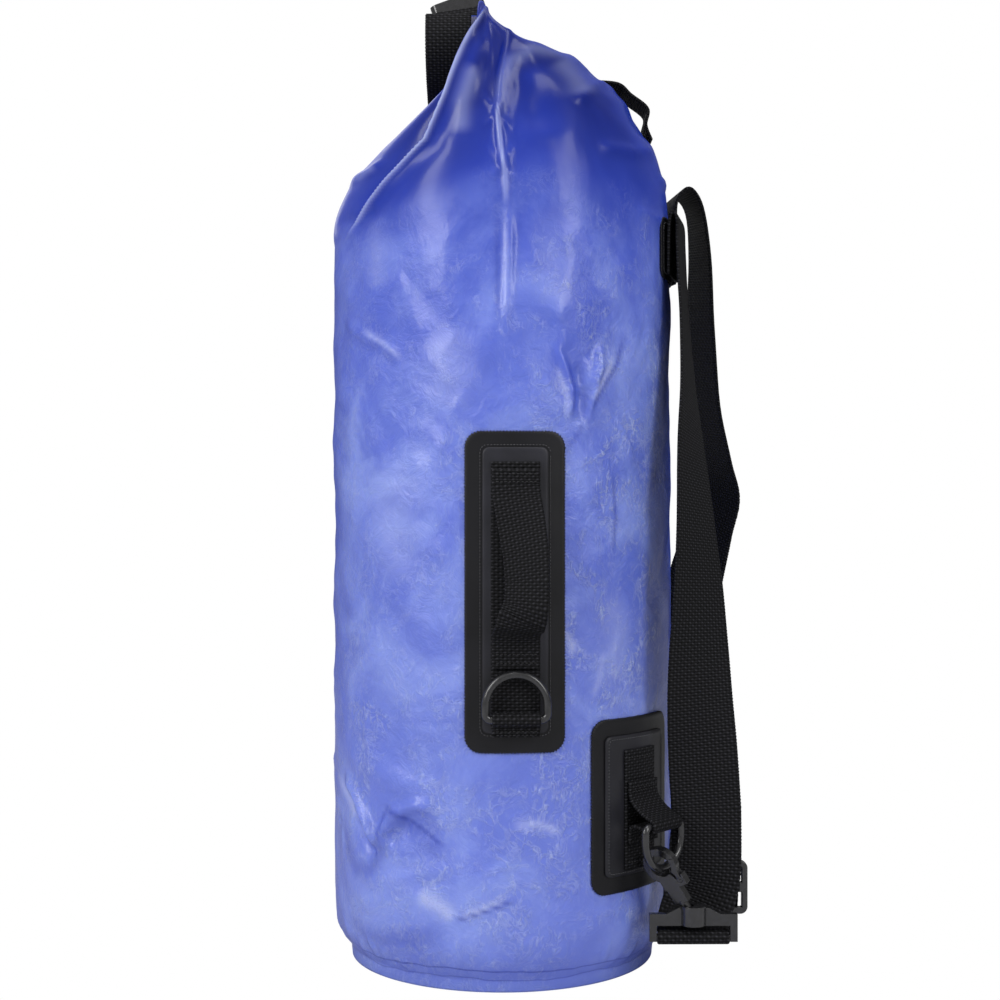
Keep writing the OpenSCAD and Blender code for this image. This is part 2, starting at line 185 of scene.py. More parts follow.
def new_material(name):
    material = bpy.data.materials.new(name)
    material.use_nodes = True
    tree = material.node_tree
    return material, Shader(tree), tree.nodes["Principled BSDF"]


def film_contents(shader, noise, height):
    """Pale contents behind blue film. Returns the colour and the mask of the filled part."""
    uneven = shader.mul(shader.sub(noise(scale=8.0, detail=3.0, distortion=0.5), 0.5), 0.13)
    level = shader.math("DIVIDE", shader.add(height, uneven), 0.56)
    # periwinkle over the contents, deep royal blue on the empty neck
    gradient = shader.ramp(level, [
        (0.0, (0.145, 0.20, 0.68)), (0.08, (0.150, 0.21, 0.70)), (0.30, (0.118, 0.172, 0.64)),
        (0.55, (0.105, 0.158, 0.63)), (0.70, (0.075, 0.120, 0.58)), (0.77, (0.022, 0.048, 0.39)),
        (0.84, (0.003, 0.014, 0.20)), (1.0, (0.001, 0.005, 0.10))])
    filled = shader.ramp(level, [
        (0.0, grey(0.45)), (0.06, grey(0.85)), (0.3, grey(1)), (0.60, grey(1)),
        (0.70, grey(0.55)), (0.78, grey(0.0))])
    cloud = shader.fade(noise(scale=13.0, detail=6.0, roughness=0.6, distortion=0.9), 0.41, 0.65)
    cloud = shader.mul(shader.mul(cloud, filled), 0.58)
    return shader.mix(cloud, gradient, (0.30, 0.39, 0.86)), filled


def film_streaks(shader, place, noise, filled, split):
    """Fine crinkles: short flecks lying three ways and thin curling lines."""
    # scale, rotation, stretch, fade low and high
    fleck_sets = (
        (185.0, (0.35, 0.25, 0.0), (1.5, 1.5, 0.7), 0.59, 0.67),
        (200.0, (1.15, -0.75, 0.4), (1.5, 1.5, 0.6), 0.59, 0.67),
        (190.0, (-1.0, 0.8, 0.9), (1.6, 1.6, 0.6), 0.60, 0.68))
    flecks = []
    for scale, rotation, stretch, low, high in fleck_sets:
        turned = shader.node("ShaderNodeMapping", {
            "Vector": place, "Rotation": rotation, "Scale": stretch}).outputs[0]
        grain = shader.noise(turned, scale, detail=3.0, roughness=0.6, distortion=0.5)
        flecks.append(shader.fade(grain, low, high))
    curl = noise(scale=85.0, detail=5.0, roughness=0.62, distortion=1.5)
    off_line = shader.mul(shader.math("ABSOLUTE", shader.sub(curl, 0.5)), 20.0)
    lines = shader.sub(1.0, off_line, clamp=True)
    scatter = noise(scale=36.0, detail=5.0, roughness=0.65, distortion=0.6)
    scatter = shader.fade(scatter, 0.40, 0.66)
    pair = shader.add(shader.mul(flecks[0], 0.5), shader.mul(flecks[1], 0.5))
    rest = shader.add(shader.mul(flecks[2], 0.45), shader.mul(lines, 0.55))
    crinkles = shader.mul(shader.add(pair, rest), scatter)
    # strongest on the back half and low on the bag
    backward = shader.math("MULTIPLY_ADD", split.outputs["Y"], 6.0, 0.62)
    backward = shader.math("MAXIMUM", shader.math("MINIMUM", backward, 1.0), 0.30)
    low_down = shader.fade(shader.sub(0.25, split.outputs["Z"]), 0.0, 0.12)
    zone = shader.math("MAXIMUM", backward, shader.mul(low_down, 0.75))
    return shader.mul(shader.mul(crinkles, filled), zone)


def film_seam(shader, noise, height):
    """Two wavering weld lines round the foot."""
    waver = shader.mul(shader.sub(noise(scale=30.0, detail=2.0), 0.5), 0.0085)
    wavy_height = shader.sub(height, waver)

    def weld(z, half_width):
        off = shader.math("ABSOLUTE", shader.sub(wavy_height, z))
        return shader.sub(1.0, shader.math("DIVIDE", off, half_width), clamp=True)

    lines = shader.math("MAXIMUM", weld(0.0118, 0.0008), shader.mul(weld(0.0068, 0.0006), 0.75))
    return shader.mul(lines, shader.math("LESS_THAN", height, 0.022))


def film_material():
    material, shader, surface = new_material("film_pvc")
    place = shader.object_place()
    split = shader.node("ShaderNodeSeparateXYZ", {"Vector": place})
    height = split.outputs["Z"]

    def noise(**settings):
        return shader.noise(place, **settings)

    colour, filled = film_contents(shader, noise, height)
    streaks = film_streaks(shader, place, noise, filled, split)
    colour = shader.mix(shader.mul(streaks, 0.62, clamp=True), colour, (0.60, 0.68, 0.98))

    # painted crease light: red paints shade into the creases, green paints milky highlights along
    # them
    painted_crease_light = shader.node("ShaderNodeAttribute")
    painted_crease_light.attribute_name = "painted_crease_light"
    painted_crease_light = shader.node("ShaderNodeSeparateColor", {"Color": painted_crease_light.outputs["Color"]})
    seam = film_seam(shader, noise, height)
    # painted shade in the creases, joined with the real dark weld lines of the seam
    painted_shade_and_weld = shader.math("MAXIMUM", shader.mul(painted_crease_light.outputs[0], 0.85), shader.mul(seam, 0.75),
                       clamp=True)
    colour = shader.mix(painted_shade_and_weld, colour, (0.012, 0.035, 0.36))
    # painted highlight: milky light along the folds where they would catch the light
    painted_highlight = shader.mul(painted_crease_light.outputs[1], 0.75)
    colour = shader.mix(painted_highlight, colour, (0.52, 0.58, 0.92))
    # painted shade: the colour darkens to deep blue towards the silhouette, where the film turns
    # away from the view; its specular is lowered there too
    facing = shader.node("ShaderNodeLayerWeight", {"Blend": 0.5}).outputs["Facing"]
    edge = shader.fade(facing, 0.48, 0.96)
    colour = shader.mix(shader.mul(edge, 0.78), colour, (0.022, 0.055, 0.47))

    # relief: crinkles, middling lumps on the filled part, broad lumps everywhere
    lumps = noise(scale=75.0, detail=5.0, roughness=0.62, distortion=0.8)
    relief = shader.add(shader.mul(streaks, 1.3), shader.mul(lumps, shader.mul(filled, 2.0)))
    broad = noise(scale=9.0, detail=3.0, distortion=0.6)
    relief = shader.add(relief, shader.mul(broad, 3.0))
    specular = shader.mix(filled, grey(0.20), grey(0.42))
    shader.fill(surface, {
        "Base Color": colour,
        "Roughness": shader.mix(filled, grey(0.29), grey(0.34)),
        "Coat Weight": shader.mix(filled, grey(0.12), grey(0.30)),
        "Coat Roughness": 0.13,
        "Specular IOR Level": shader.mix(edge, specular, grey(0.06)),
        "Subsurface Weight": 0.18,
        "Subsurface Radius": (0.2, 0.35, 1.0),
        "Subsurface Scale": 0.010,
        "Normal": shader.bump(Strength=0.55, Distance=0.0014, Height=relief)})
    return material


def webbing_material():
    """Black weave. The UV map is in millimetres, u across the webbing and v along it."""
    across_pitch, along_pitch = 2.1, 1.6
    material, shader, surface = new_material("webbing")
    uv = shader.node("ShaderNodeUVMap")
    uv.uv_map = "UVMap"
    split = shader.node("ShaderNodeSeparateXYZ", {"Vector": uv.outputs[0]})
    u, v = split.outputs[0], split.outputs[1]

    def cycles(value, pitch):
        return shader.mul(value, 2 * math.pi / pitch)

    ribs = shader.math("SINE", cycles(u, across_pitch))
    picks = shader.math("SINE", cycles(v, along_pitch))
    diagonal = shader.add(cycles(v, 2 * along_pitch), cycles(u, 2 * across_pitch))
    diagonal = shader.math("SINE", diagonal)
    weave = shader.add(shader.mul(ribs, 0.35), shader.mul(diagonal, 0.35))
    weave = shader.add(shader.mul(picks, 0.55), weave)
    weave = shader.add(shader.mul(weave, 0.4), 0.5, clamp=True)
    shader.fill(surface, {
        "Base Color": shader.ramp(weave, [
            (0.15, (0.0015, 0.0015, 0.0018)), (0.55, (0.006, 0.006, 0.0072)),
            (1.0, (0.034, 0.034, 0.040))]),
        "Roughness": 0.72,
        "Specular IOR Level": 0.14,
        "Normal": shader.bump(Strength=0.9, Distance=0.0007, Height=weave)})
    return material


def pvc_material(name, gain):
    """Black coated PVC; gain brightens its colour."""
    material, shader, surface = new_material(name)
    place = shader.object_place()
    grain = shader.noise(place, scale=900.0, detail=2.0)
    mottle = shader.noise(place, scale=28.0, detail=3.0)
    relief = shader.add(shader.mul(grain, 0.25), mottle)
    shader.fill(surface, {
        "Base Color": shader.ramp(mottle, [
            (0.3, (0.004 * gain, 0.004 * gain, 0.005 * gain)),
            (0.75, (0.009 * gain, 0.009 * gain, 0.012 * gain))]),
        "Roughness": 0.40,
        "Specular IOR Level": 0.26,
        "Normal": shader.bump(Strength=0.25, Distance=0.0008, Height=relief)})
    return material


def plastic_material():
    material, shader, surface = new_material("black_plastic")
    grain = shader.noise(shader.object_place(), scale=420.0, detail=3.0)
    rounded = shader.node("ShaderNodeBevel", {"Radius": 0.0006}).outputs[0]
    shader.fill(surface, {
        "Base Color": shader.ramp(grain, [
            (0.3, (0.008, 0.008, 0.009)), (0.8, (0.022, 0.022, 0.025))]),
        "Roughness": 0.22,
        "Specular IOR Level": 0.62,
        "Coat Weight": 0.25,
        "Coat Roughness": 0.10,
        "Normal": shader.bump(Strength=0.08, Distance=0.0004, Height=grain, Normal=rounded)})
    return material


def thread_material(name, colour, roughness):
    material, shader, surface = new_material(name)
    grain = shader.noise(shader.object_place(), scale=300.0, detail=2.0)
    darker = tuple(x * 0.8 for x in colour)
    lighter = tuple(min(1, x * 1.25) for x in colour)
    shader.fill(surface, {
        "Base Color": shader.mix(grain, darker, lighter), "Roughness": roughness})
    return material


FILM = film_material()
WEBBING = webbing_material()
PATCH_PVC = pvc_material("patch_pvc", gain=1.0)
PANEL_PVC = pvc_material("panel_pvc", gain=3.0)
PLASTIC = plastic_material()
THREAD = thread_material("thread", (0.075, 0.075, 0.082), roughness=0.5)
BLACK_THREAD = thread_material("thread_black", (0.012, 0.012, 0.014), roughness=0.6)


# ---------------------------------------------------------------- mesh helpers
def new_object(name, verts, faces, material, uv=None):
    """Smooth-shaded object from millimetre vertices; uv is given per vertex."""
    mesh = bpy.data.meshes.new(name)
    mesh.from_pydata((np.asarray(verts) * MM).tolist(), [],
                     [tuple(int(i) for i in face) for face in faces])
    if uv is not None:
        layer = mesh.uv_layers.new(name="UVMap")
        corner_verts = np.empty(len(mesh.loops), dtype=np.int64)
        mesh.loops.foreach_get("vertex_index", corner_verts)
        corner_uv = np.asarray(uv, dtype=np.float32)[corner_verts]
        layer.data.foreach_set("uv", corner_uv.ravel())
    mesh.validate()
    mesh.polygons.foreach_set("use_smooth", [True] * len(mesh.polygons))
    mesh.materials.append(material)
    mesh.update()
    obj = bpy.data.objects.new(name, mesh)
    bpy.context.scene.collection.objects.link(obj)
    return obj


def fit(obj, nodes=(), body=None):
    if body:
        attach(obj, body)
    if nodes:
        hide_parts(*nodes)


def unit(v):
    v = np.asarray(v, float)
    return v / np.maximum(np.linalg.norm(v, axis=-1, keepdims=True), 1e-9)


def catmull(points, steps):
    """Smooth curve through the points, with so many steps between neighbours."""
    p = np.asarray(points, float)
    n, out = len(p), []
    for k in range(n - 1):
        a, b, c, d = p[max(k - 1, 0)], p[k], p[k + 1], p[min(k + 2, n - 1)]
        for j in range(steps):
            u = j / steps
            out.append(0.5 * (2 * b + (c - a) * u + (2 * a - 5 * b + 4 * c - d) * u * u
                              + (3 * b - a - 3 * c + d) * u ** 3))
    out.append(p[-1])
    return np.array(out)


def resample(rows, step):
    """Even spacing along the first three columns. Returns the rows and their distances."""
    lengths = np.linalg.norm(np.diff(rows[:, :3], axis=0), axis=1)
    distance = np.concatenate([[0], np.cumsum(lengths)])
    even = np.linspace(0, distance[-1], max(4, int(distance[-1] / step)))
    columns = [np.interp(even, distance, rows[:, i]) for i in range(rows.shape[1])]
    return np.stack(columns, 1), even


def rotate(points, azimuth):
    """Turn points about Z."""
    c, s = cosd(azimuth), sind(azimuth)
    turned = points.copy()
    turned[..., 0] = points[..., 0] * c - points[..., 1] * s
    turned[..., 1] = points[..., 0] * s + points[..., 1] * c
    return turned


def skin(rings, count, wrap=False, caps=True):
    """Quads over closed rings of vertices; wrap joins the last ring to the first."""
    faces = []
    for i in range(rings if wrap else rings - 1):
        here, there = i * count, (i + 1) % rings * count
        for j in range(count):
            after = (j + 1) % count
            faces.append((here + j, here + after, there + after, there + j))
    if caps:
        faces.append(tuple(range(count - 1, -1, -1)))
        faces.append(tuple((rings - 1) * count + j for j in range(count)))
    return faces


def strip_mesh(centre, across, width, thickness, wobble, seed, cup=0.0):
    """Webbing along the centre line: woven edge loops and a slight unevenness."""
    rows, s = resample(np.concatenate([centre, across], 1), 0.9)
    centre, across = rows[:, :3], unit(rows[:, 3:6])
    along = unit(np.gradient(centre, axis=0))
    across = unit(across - (across * along).sum(1, keepdims=True) * along)
    normal = np.cross(along, across)
    phase = np.random.default_rng(seed + 11).uniform(0, 6.28, 6)
    uneven = wobble * (np.sin(s / 17 + phase[0]) * 0.6 + np.sin(s / 7.1 + phase[1]) * 0.25
                       + np.sin(s / 31 + phase[2]) * 0.8)
    half, half_thick = width / 2, thickness / 2
    # section: flat top, rounded edge, flat bottom, rounded edge
    top = [(u * (half - 0.45), half_thick) for u in np.linspace(-1, 1, 13)]
    bottom = [(x, -y) for x, y in reversed(top)]
    edge = [(half - 0.1, half_thick * 0.75), (half + 0.06, 0.0),
            (half - 0.1, -half_thick * 0.75)]
    section = np.array(top + edge + bottom + [(-x, -y) for x, y in edge])
    loops = 0.16 * np.sin(2 * math.pi * s / 1.9)
    at_edge = np.abs(section[:, 0]) > half - 0.2
    x = section[:, 0] + np.where(at_edge, np.sign(section[:, 0]) * loops[:, None], 0)
    ripple = uneven[:, None] * (x / half) * 0.6
    rise = section[:, 1] + cup * (x / half) ** 2 + ripple
    verts = (centre[:, None] + across[:, None] * x[..., None]
             + normal[:, None] * rise[..., None]).reshape(-1, 3)
    n, count = len(s), len(section)
    uv = np.stack([np.tile(section[:, 0], n), np.repeat(s, count)], 1)
    return verts, skin(n, count), uv


def web_strip(name, centre, across, nodes, body=None, width=WEB_WIDTH,
              thickness=WEB_THICKNESS, **settings):
    verts, faces, uv = strip_mesh(np.asarray(centre, float), np.asarray(across, float),
                                  width, thickness, **settings)
    obj = new_object(name, verts, faces, WEBBING, uv)
    fit(obj, nodes, body)
    return obj


def tube(path, radius, sides, closed=False):
    path = np.asarray(path, float)
    n = len(path)
    if closed:
        along = unit(np.roll(path, -1, 0) - np.roll(path, 1, 0))
    else:
        along = unit(np.gradient(path, axis=0))
    start = np.array([0, 0, 1.0]) if abs(along[0][2]) < 0.9 else np.array([1.0, 0, 0])
    u = unit(start - start @ along[0] * along[0])
    first = np.zeros_like(path)
    for i in range(n):
        u = unit(u - (u @ along[i]) * along[i])
        first[i] = u
    second = np.cross(along, first)
    a = np.linspace(0, 2 * math.pi, sides, endpoint=False)[None, :, None]
    radii = np.broadcast_to(np.asarray(radius, float), (n,))[:, None, None]
    ring = np.cos(a) * first[:, None, :] + np.sin(a) * second[:, None, :]
    verts = (path[:, None, :] + radii * ring).reshape(-1, 3)
    return verts, skin(n, sides, wrap=closed, caps=not closed)


def stitches(name, path, normals, material, pitch, length, radius=0.26):
    """A row of thread stitches along the path, fixed to the bag."""
    rows, s = resample(np.concatenate([path, normals], 1), 0.25)
    arch = np.array([-0.45, 0.6, 1.0, 0.6, -0.45]) * radius + 0.1
    radii = np.array([0.55, 0.95, 1.0, 0.95, 0.55]) * radius
    verts, faces, count = [], [], 0
    start = 0.6
    while start + length < s[-1]:
        inside = np.where((s >= start) & (s <= start + length))[0]
        if len(inside) >= 4:
            picked = rows[inside[np.linspace(0, len(inside) - 1, 5).astype(int)]]
            curve = picked[:, :3] + unit(picked[:, 3:6]) * arch[:, None]
            part, part_faces = tube(curve, radii, sides=6)
            verts.append(part)
            faces += [tuple(i + count for i in face) for face in part_faces]
            count += len(part)
        start += pitch
    fit(new_object(name, np.concatenate(verts), faces, material), body="bag")


# ---------------------------------------------------------------- film tube
rng = np.random.default_rng(7)

# foot of the tube: height, radius
FOOT_PROFILE = np.array([
    (0.0, 86.6), (7.0, 87.2), (8.0, 88.0), (12.0, 90.5), (16.0, 92.7), (20.0, 94.4),
    (26.0, 95.8), (32.0, 96.6), (40.0, 96.95), (47.0, BAG_RADIUS)])

# Folds, painted shade and painted highlights on the tube are lines of (y, z) points on its right
# side, mirrored on the left.
# Folds: rise, width, points
TUBE_FOLDS = [
    # side pinch crease with a hollow on each side
    (1.5, 2.6, [(3.128, 413.811), (3.650, 395.565), (3.128, 372.100), (1.564, 346.026)]),
    (-1.0, 3.0, [(-1.043, 426.837), (-1.043, 395.555), (-2.086, 364.275), (-2.607, 348.635)]),
    (-0.9, 4.0, [(8.345, 421.692), (9.390, 395.628), (8.345, 364.317)]),
    # soft vertical folds under the shoulder
    (1.0, 9, [(30.416, 409.460), (33.608, 380.777), (30.416, 349.151)]),
    (0.9, 10, [(-24.597, 411.770), (-27.238, 380.474), (-23.016, 348.926)]),
    (-0.8, 9, [(52.020, 424.554), (58.710, 398.770), (55.349, 366.441)]),
    # big soft folds low towards the front
    (4.2, 3.4, [(-87.906, 108.669), (-79.960, 100.080), (-72.599, 85.545), (-66.709, 68.479)]),
    (3.8, 3.2, [(-66.709, 67.404), (-64.398, 81.831), (-57.586, 92.574), (-46.534, 98.189),
                (-32.542, 98.338)]),
    (-3.4, 4.0, [(-81.231, 88.756), (-75.010, 76.279), (-67.874, 64.998)]),
    (-2.6, 4.0, [(-60.972, 74.946), (-56.466, 84.211), (-48.720, 89.480)]),
    (1.6, 4.5, [(-82.519, 55.353), (-65.551, 55.824), (-43.274, 62.629), (-20.912, 70.751)]),
    (-1.8, 6.0, [(-57.025, 79.864), (-47.626, 84.314), (-32.542, 87.841)]),
    (1.5, 7.0, [(-87.205, 120.028), (-70.222, 114.155), (-48.720, 108.544),
                (-27.238, 102.859)]),
    (1.4, 7.0, [(-83.826, 36.647), (-54.236, 51.032), (-24.597, 50.662)]),
    # wrinkles behind the handle
    (2.6, 2.0, [(26.709, 343.793), (33.075, 329.299), (36.813, 314.693), (34.674, 299.928)]),
    (2.4, 2.0, [(54.236, 345.076), (51.468, 327.917), (47.079, 310.782), (44.358, 298.021)]),
    (-2.0, 3.6, [(40.034, 335.855), (42.192, 316.959), (39.496, 300.023)]),
    (1.2, 2.6, [(30.416, 315.064), (41.112, 319.033), (52.020, 327.945), (62.109, 339.242)]),
    (1.0, 3.0, [(58.710, 306.968), (66.709, 294.431), (71.407, 276.229)]),
    (1.0, 4.0, [(28.296, 364.800), (30.416, 349.151), (33.608, 335.617)]),
    # dents near the front
    (1.4, 3.4, [(-88.617, 361.436), (-76.230, 349.298), (-58.710, 338.992),
                (-53.127, 333.315)]),
    (-1.2, 4.0, [(-83.826, 348.238), (-66.709, 339.621), (-55.349, 329.186)]),
]

# Painted shade: strength, width, points. Dark along the folds and creases, where shade falls.
TUBE_PAINTED_SHADE = [
    (0.45, 4.5, [(-87.906, 86.414), (-85.156, 68.674), (-79.960, 58.457), (-71.407, 59.845),
                 (-65.551, 71.944), (-63.251, 87.399)]),
    (0.95, 1.2, [(-83.170, 99.168), (-77.461, 84.348), (-71.407, 69.041)]),
    (0.6, 1.2, [(-70.222, 69.321), (-64.974, 78.502), (-63.824, 90.518), (-59.839, 96.512)]),
    (0.9, 1.3, [(-64.398, 96.857), (-49.817, 90.410), (-37.885, 82.678), (-28.296, 76.600)]),
    (0.35, 5.0, [(-56.466, 93.799), (-43.274, 84.793), (-29.356, 70.237)]),
    (0.8, 1.2, [(-26.181, 39.036), (-11.479, 44.502), (8.345, 51.365)]),
    (0.40, 6.0, [(-85.156, 27.755), (-70.222, 23.406), (-52.020, 25.378), (-34.674, 34.091),
                 (-26.181, 41.130)]),
    (0.5, 7.0, [(70.222, 54.736), (76.230, 39.476), (75.010, 26.272)]),
    (0.75, 1.4, [(66.709, 349.842), (62.109, 333.888), (52.573, 317.883), (45.445, 305.445)]),
    (0.6, 1.4, [(33.608, 335.617), (37.885, 321.037), (36.278, 302.061)]),
    (0.5, 1.4, [(42.192, 300.082), (37.885, 291.571), (33.608, 287.306)]),
    (0.45, 1.8, [(-2.086, 425.798), (-2.607, 395.560), (-2.086, 348.634)]),
    (0.6, 1.2, [(58.710, 276.012), (60.972, 249.303), (59.274, 230.096)]),
    (0.4, 5.0, [(71.407, 433.107), (82.519, 430.539), (90.839, 428.220)]),
]
# Painted highlights: milky light along the folds and creases where they catch the light.
TUBE_PAINTED_HIGHLIGHT = [
    (0.65, 3.2, [(-93.289, 107.345), (-86.514, 98.064), (-79.330, 86.020)]),
    (0.75, 4.2, [(-45.445, 52.327), (-34.674, 47.751), (-24.070, 40.754)]),
    (0.7, 1.3, [(-21.963, 41.935), (-9.390, 47.168), (2.086, 52.492)]),
    (0.6, 2.2, [(4.693, 90.013), (17.761, 90.747), (31.479, 85.818)]),
    (0.8, 1.5, [(60.405, 338.045), (54.236, 324.871), (47.079, 311.840)]),
    (0.6, 1.4, [(28.296, 330.216), (33.608, 316.713), (33.608, 303.060)]),
    (0.6, 2.2, [(30.416, 192.874), (37.885, 183.178), (34.674, 176.992)]),
    (0.45, 2.0, [(54.236, 181.305), (52.020, 166.576), (47.626, 154.165)]),
    (0.40, 1.4, [(1.043, 427.880), (2.086, 395.558), (1.564, 353.847)]),
    (0.22, 9.0, [(22.490, 416.904), (26.181, 390.903), (30.416, 359.640)]),
    (0.22, 8.0, [(-69.044, 416.429), (-66.709, 394.495), (-70.222, 373.435)]),
    (0.55, 1.6, [(-76.230, 352.566), (-63.251, 343.620), (-53.127, 334.377)]),
    (0.28, 13.0, [(-32.542, 349.229), (-26.181, 328.070), (-32.542, 307.239)]),
    (0.25, 15.0, [(-54.236, 281.269), (-58.710, 249.325), (-53.127, 212.186)]),
    (0.25, 10.0, [(57.586, 212.012), (60.972, 185.123), (55.349, 158.881)]),
]

# The neck is worked in side view: (y, z) of the film before it is displaced.
# The sharp fold from the end of the roll down to the front shoulder:
NECK_FOLD = [(-6.6, 530), (-20, 502), (-29.5, 475), (-40, 451), (-63.7, 429), (-79, 414),
             (-88, 404)]
# Folds: rise, width, taper, whether it runs at full strength across the middle, points
NECK_SIDE_FOLDS = [
    # behind the sharp fold
    (-1.6, 6.0, 0.2, False, [(-2, 520), (-8, 492), (-16, 468), (-30, 448)]),
    (0.9, 5.0, 0.2, False, [(-14, 492), (-20, 470), (-24, 452)]),
    # side pinch above the shoulder with a hollow on each side
    (2.4, 1.9, 0.25, False, [(4, 520), (1, 490), (-2.5, 462), (-1, 446), (1.5, 430),
                             (2.5, 408)]),
    (-1.3, 4.5, 0.2, False, [(9, 505), (9, 480), (7, 450), (9, 425)]),
    (-1.2, 4.5, 0.2, False, [(-8, 500), (-10, 475), (-8, 450), (-7, 430)]),
]
PINCH_CROSSINGS = ((-2.5, 464), (0.5, 436))
NECK_SHOULDER_FOLDS = [
    # domed fold behind the pinch with a hollow under it
    (2.3, 6.0, 0.25, False, [(0, 462), (2, 482), (8, 496), (20, 501), (36, 500), (52, 496)]),
    (-3.4, 12.0, 0.45, False, [(18, 488), (20, 472), (19, 448)]),
    # back corner and shoulder creases
    (2.4, 3.0, 0.2, False, [(30, 504), (46, 498), (58, 500), (64, 504)]),
    (2.8, 4.2, 0.35, True, [(50, 510), (57, 503), (62, 496), (66, 488)]),
    (7.0, 7.5, 0.22, True, [(-2, 528), (8, 519), (20, 512), (34, 508), (50, 505)]),
    (1.4, 3.4, 0.2, False, [(60, 496), (48, 482), (38, 470)]),
    (-2.6, 7.0, 0.35, True, [(72, 486), (78, 472), (84, 460)]),
    (1.6, 3.6, 0.2, False, [(88, 458), (72, 450), (50, 448)]),
    (1.6, 5.0, 0.4, True, [(92, 446), (96, 438)]),
    (1.2, 3.2, 0.2, False, [(96, 420), (86, 415), (72, 418)]),
    # front shoulder creases
    (1.8, 2.2, 0.2, True, [(-96, 438), (-84, 436), (-70, 438), (-60, 444)]),
    (-1.4, 4.0, 0.2, False, [(-92, 418), (-80, 412), (-66, 418)]),
]
# Painted shade and painted highlights: strength, width, points
NECK_PAINTED_SHADE = [
    (0.55, 3.0, [(y + 4.5, z - 4.0) for y, z in NECK_FOLD]),
    (0.7, 1.0, [(y - 2.0, z + 2.0) for y, z in NECK_FOLD]),
    (0.7, 2.2, [(4, 500), (1.5, 482), (-4.5, 464), (-3.5, 448), (-1, 432)]),
    (0.60, 9.0, [(14, 490), (21, 472), (22, 446)]),
    (0.4, 7.0, [(60, 478), (74, 462), (84, 448)]),
]
NECK_PAINTED_HIGHLIGHT = [
    (0.85, 1.1, NECK_FOLD),
    (0.75, 1.0, [(-1, 470), (-2.5, 462), (-1, 446), (1.5, 430), (2, 412)]),
    (0.25, 3.4, [(-1, 458), (0, 478), (5, 491), (15, 498.5), (30, 500), (50, 497)]),
    (0.22, 8.0, [(30, 498), (40, 488), (44, 476)]),
    (0.30, 4.5, [(-14, 492), (-21, 470), (-22, 452)]),
    (0.5, 1.8, [(46, 492), (56, 502), (60, 508)]),
    (0.4, 1.4, [(-88, 437), (-76, 436), (-66, 440)]),
]


def loop_normal(bend):
    """Outward direction in the XZ plane at a place on the mouth loop."""
    return sind(bend), -cosd(bend)


def loop_point(bend, offset, y):
    """A point on the mouth loop, offset outwards; bend is 0 at its lowest point."""
    out_x, out_z = loop_normal(bend)
    return np.stack([(LOOP_HALF_WIDTH + offset) * out_x, y + 0 * bend,
                     LOOP_Z + (LOOP_HALF_HEIGHT + offset) * out_z], -1)


def neck(angle, share):
    """Film of the neck: a Bezier from the tube (share 0) to the mouth (share 1)."""
    half = np.where(np.abs(angle) <= 90, angle, np.sign(angle) * (180 - np.abs(angle)))
    bend = 122.0 * half / 90.0
    c = cosd(angle)
    mouth = loop_point(bend, ROLL_THICKNESS / 2 + 1.2, -12 + 3 * np.sign(c) * np.abs(c) ** 0.25)
    inward = np.stack([-sind(bend), 0 * bend, cosd(bend)], -1)
    foot = np.stack([BAG_RADIUS * sind(angle), BAG_RADIUS * c, TUBE_TOP + 0 * c], -1)
    above_foot = foot + np.stack([0 * c, 0 * c, 52 + 13 * c], -1)
    c2 = (c * c)[..., None]
    bulge = np.where((c > 0)[..., None], c2 * np.array([0, 74.0, 80.0]),
                     c2 * np.array([0, -16.0, 10.0]))
    near_mouth = mouth - 30 * inward + bulge
    t = share[..., None]
    u = 1 - t
    return (u ** 3 * foot + 3 * u * u * t * above_foot + 3 * u * t * t * near_mouth
            + t ** 3 * mouth)


def line_distance(across, up, points):
    """Nearest distance to a line of points, with three facts about the nearest place.

    They are its share of the line's length, its share of the number of segments, and which
    side of the line the grid point lies on (+1 left of its direction, -1 right).
    """
    nearest = np.full(across.shape, 1e9)
    by_length, by_count, side = (np.zeros(across.shape) for _ in range(3))
    pairs = list(zip(points[:-1], points[1:]))
    total = sum(math.hypot(x1 - x0, y1 - y0) for (x0, y0), (x1, y1) in pairs)
    done = 0.0
    for i, ((x0, y0), (x1, y1)) in enumerate(pairs):
        dx, dy = x1 - x0, y1 - y0
        length = math.hypot(dx, dy)
        u = np.clip(((across - x0) * dx + (up - y0) * dy) / (dx * dx + dy * dy), 0, 1)
        ex, ey = across - (x0 + u * dx), up - (y0 + u * dy)
        distance = np.hypot(ex, ey)
        closer = distance < nearest
        nearest = np.where(closer, distance, nearest)
        by_length = np.where(closer, (done + u * length) / total, by_length)
        by_count = np.where(closer, (i + u) / len(pairs), by_count)
        side = np.where(closer, np.sign(dx * ey - dy * ex), side)
        done += length
    return nearest, by_length, by_count, side


def tube_distance(angle, height, points):
    """line_distance on the unrolled tube; points are (angle, z)."""
    k = BAG_RADIUS * math.pi / 180
    return line_distance(angle * k, height, [(a * k, z) for a, z in points])


def tube_line(points):
    """(y, z) points on the right side of the tube as (angle, z)."""
    return [(math.degrees(math.acos(y / BAG_RADIUS)), z) for y, z in points]


def ridge(distance, along, rise, width, taper):
    """A rounded ridge that dies away at both ends of its line."""
    end = np.clip(along / taper, 0, 1) * np.clip((1 - along) / taper, 0, 1)
    end = end * end * (3 - 2 * end)
    return rise * end * np.exp(-((distance / width) ** 2))


def tube_noise(angle, z, angle_size, z_size, seed):
    """Smooth periodic noise over the tube."""
    random = np.random.default_rng(seed)
    total = np.zeros(angle.shape)
    for _ in range(10):
        turns = random.integers(1, max(2, int(360 / angle_size)))
        climb = random.uniform(-1, 1) * 2 * math.pi / z_size
        phase = random.uniform(0, 6.28)
        total += np.sin(np.radians(angle) * turns + z * climb + phase) / 10 ** 0.5
    return total


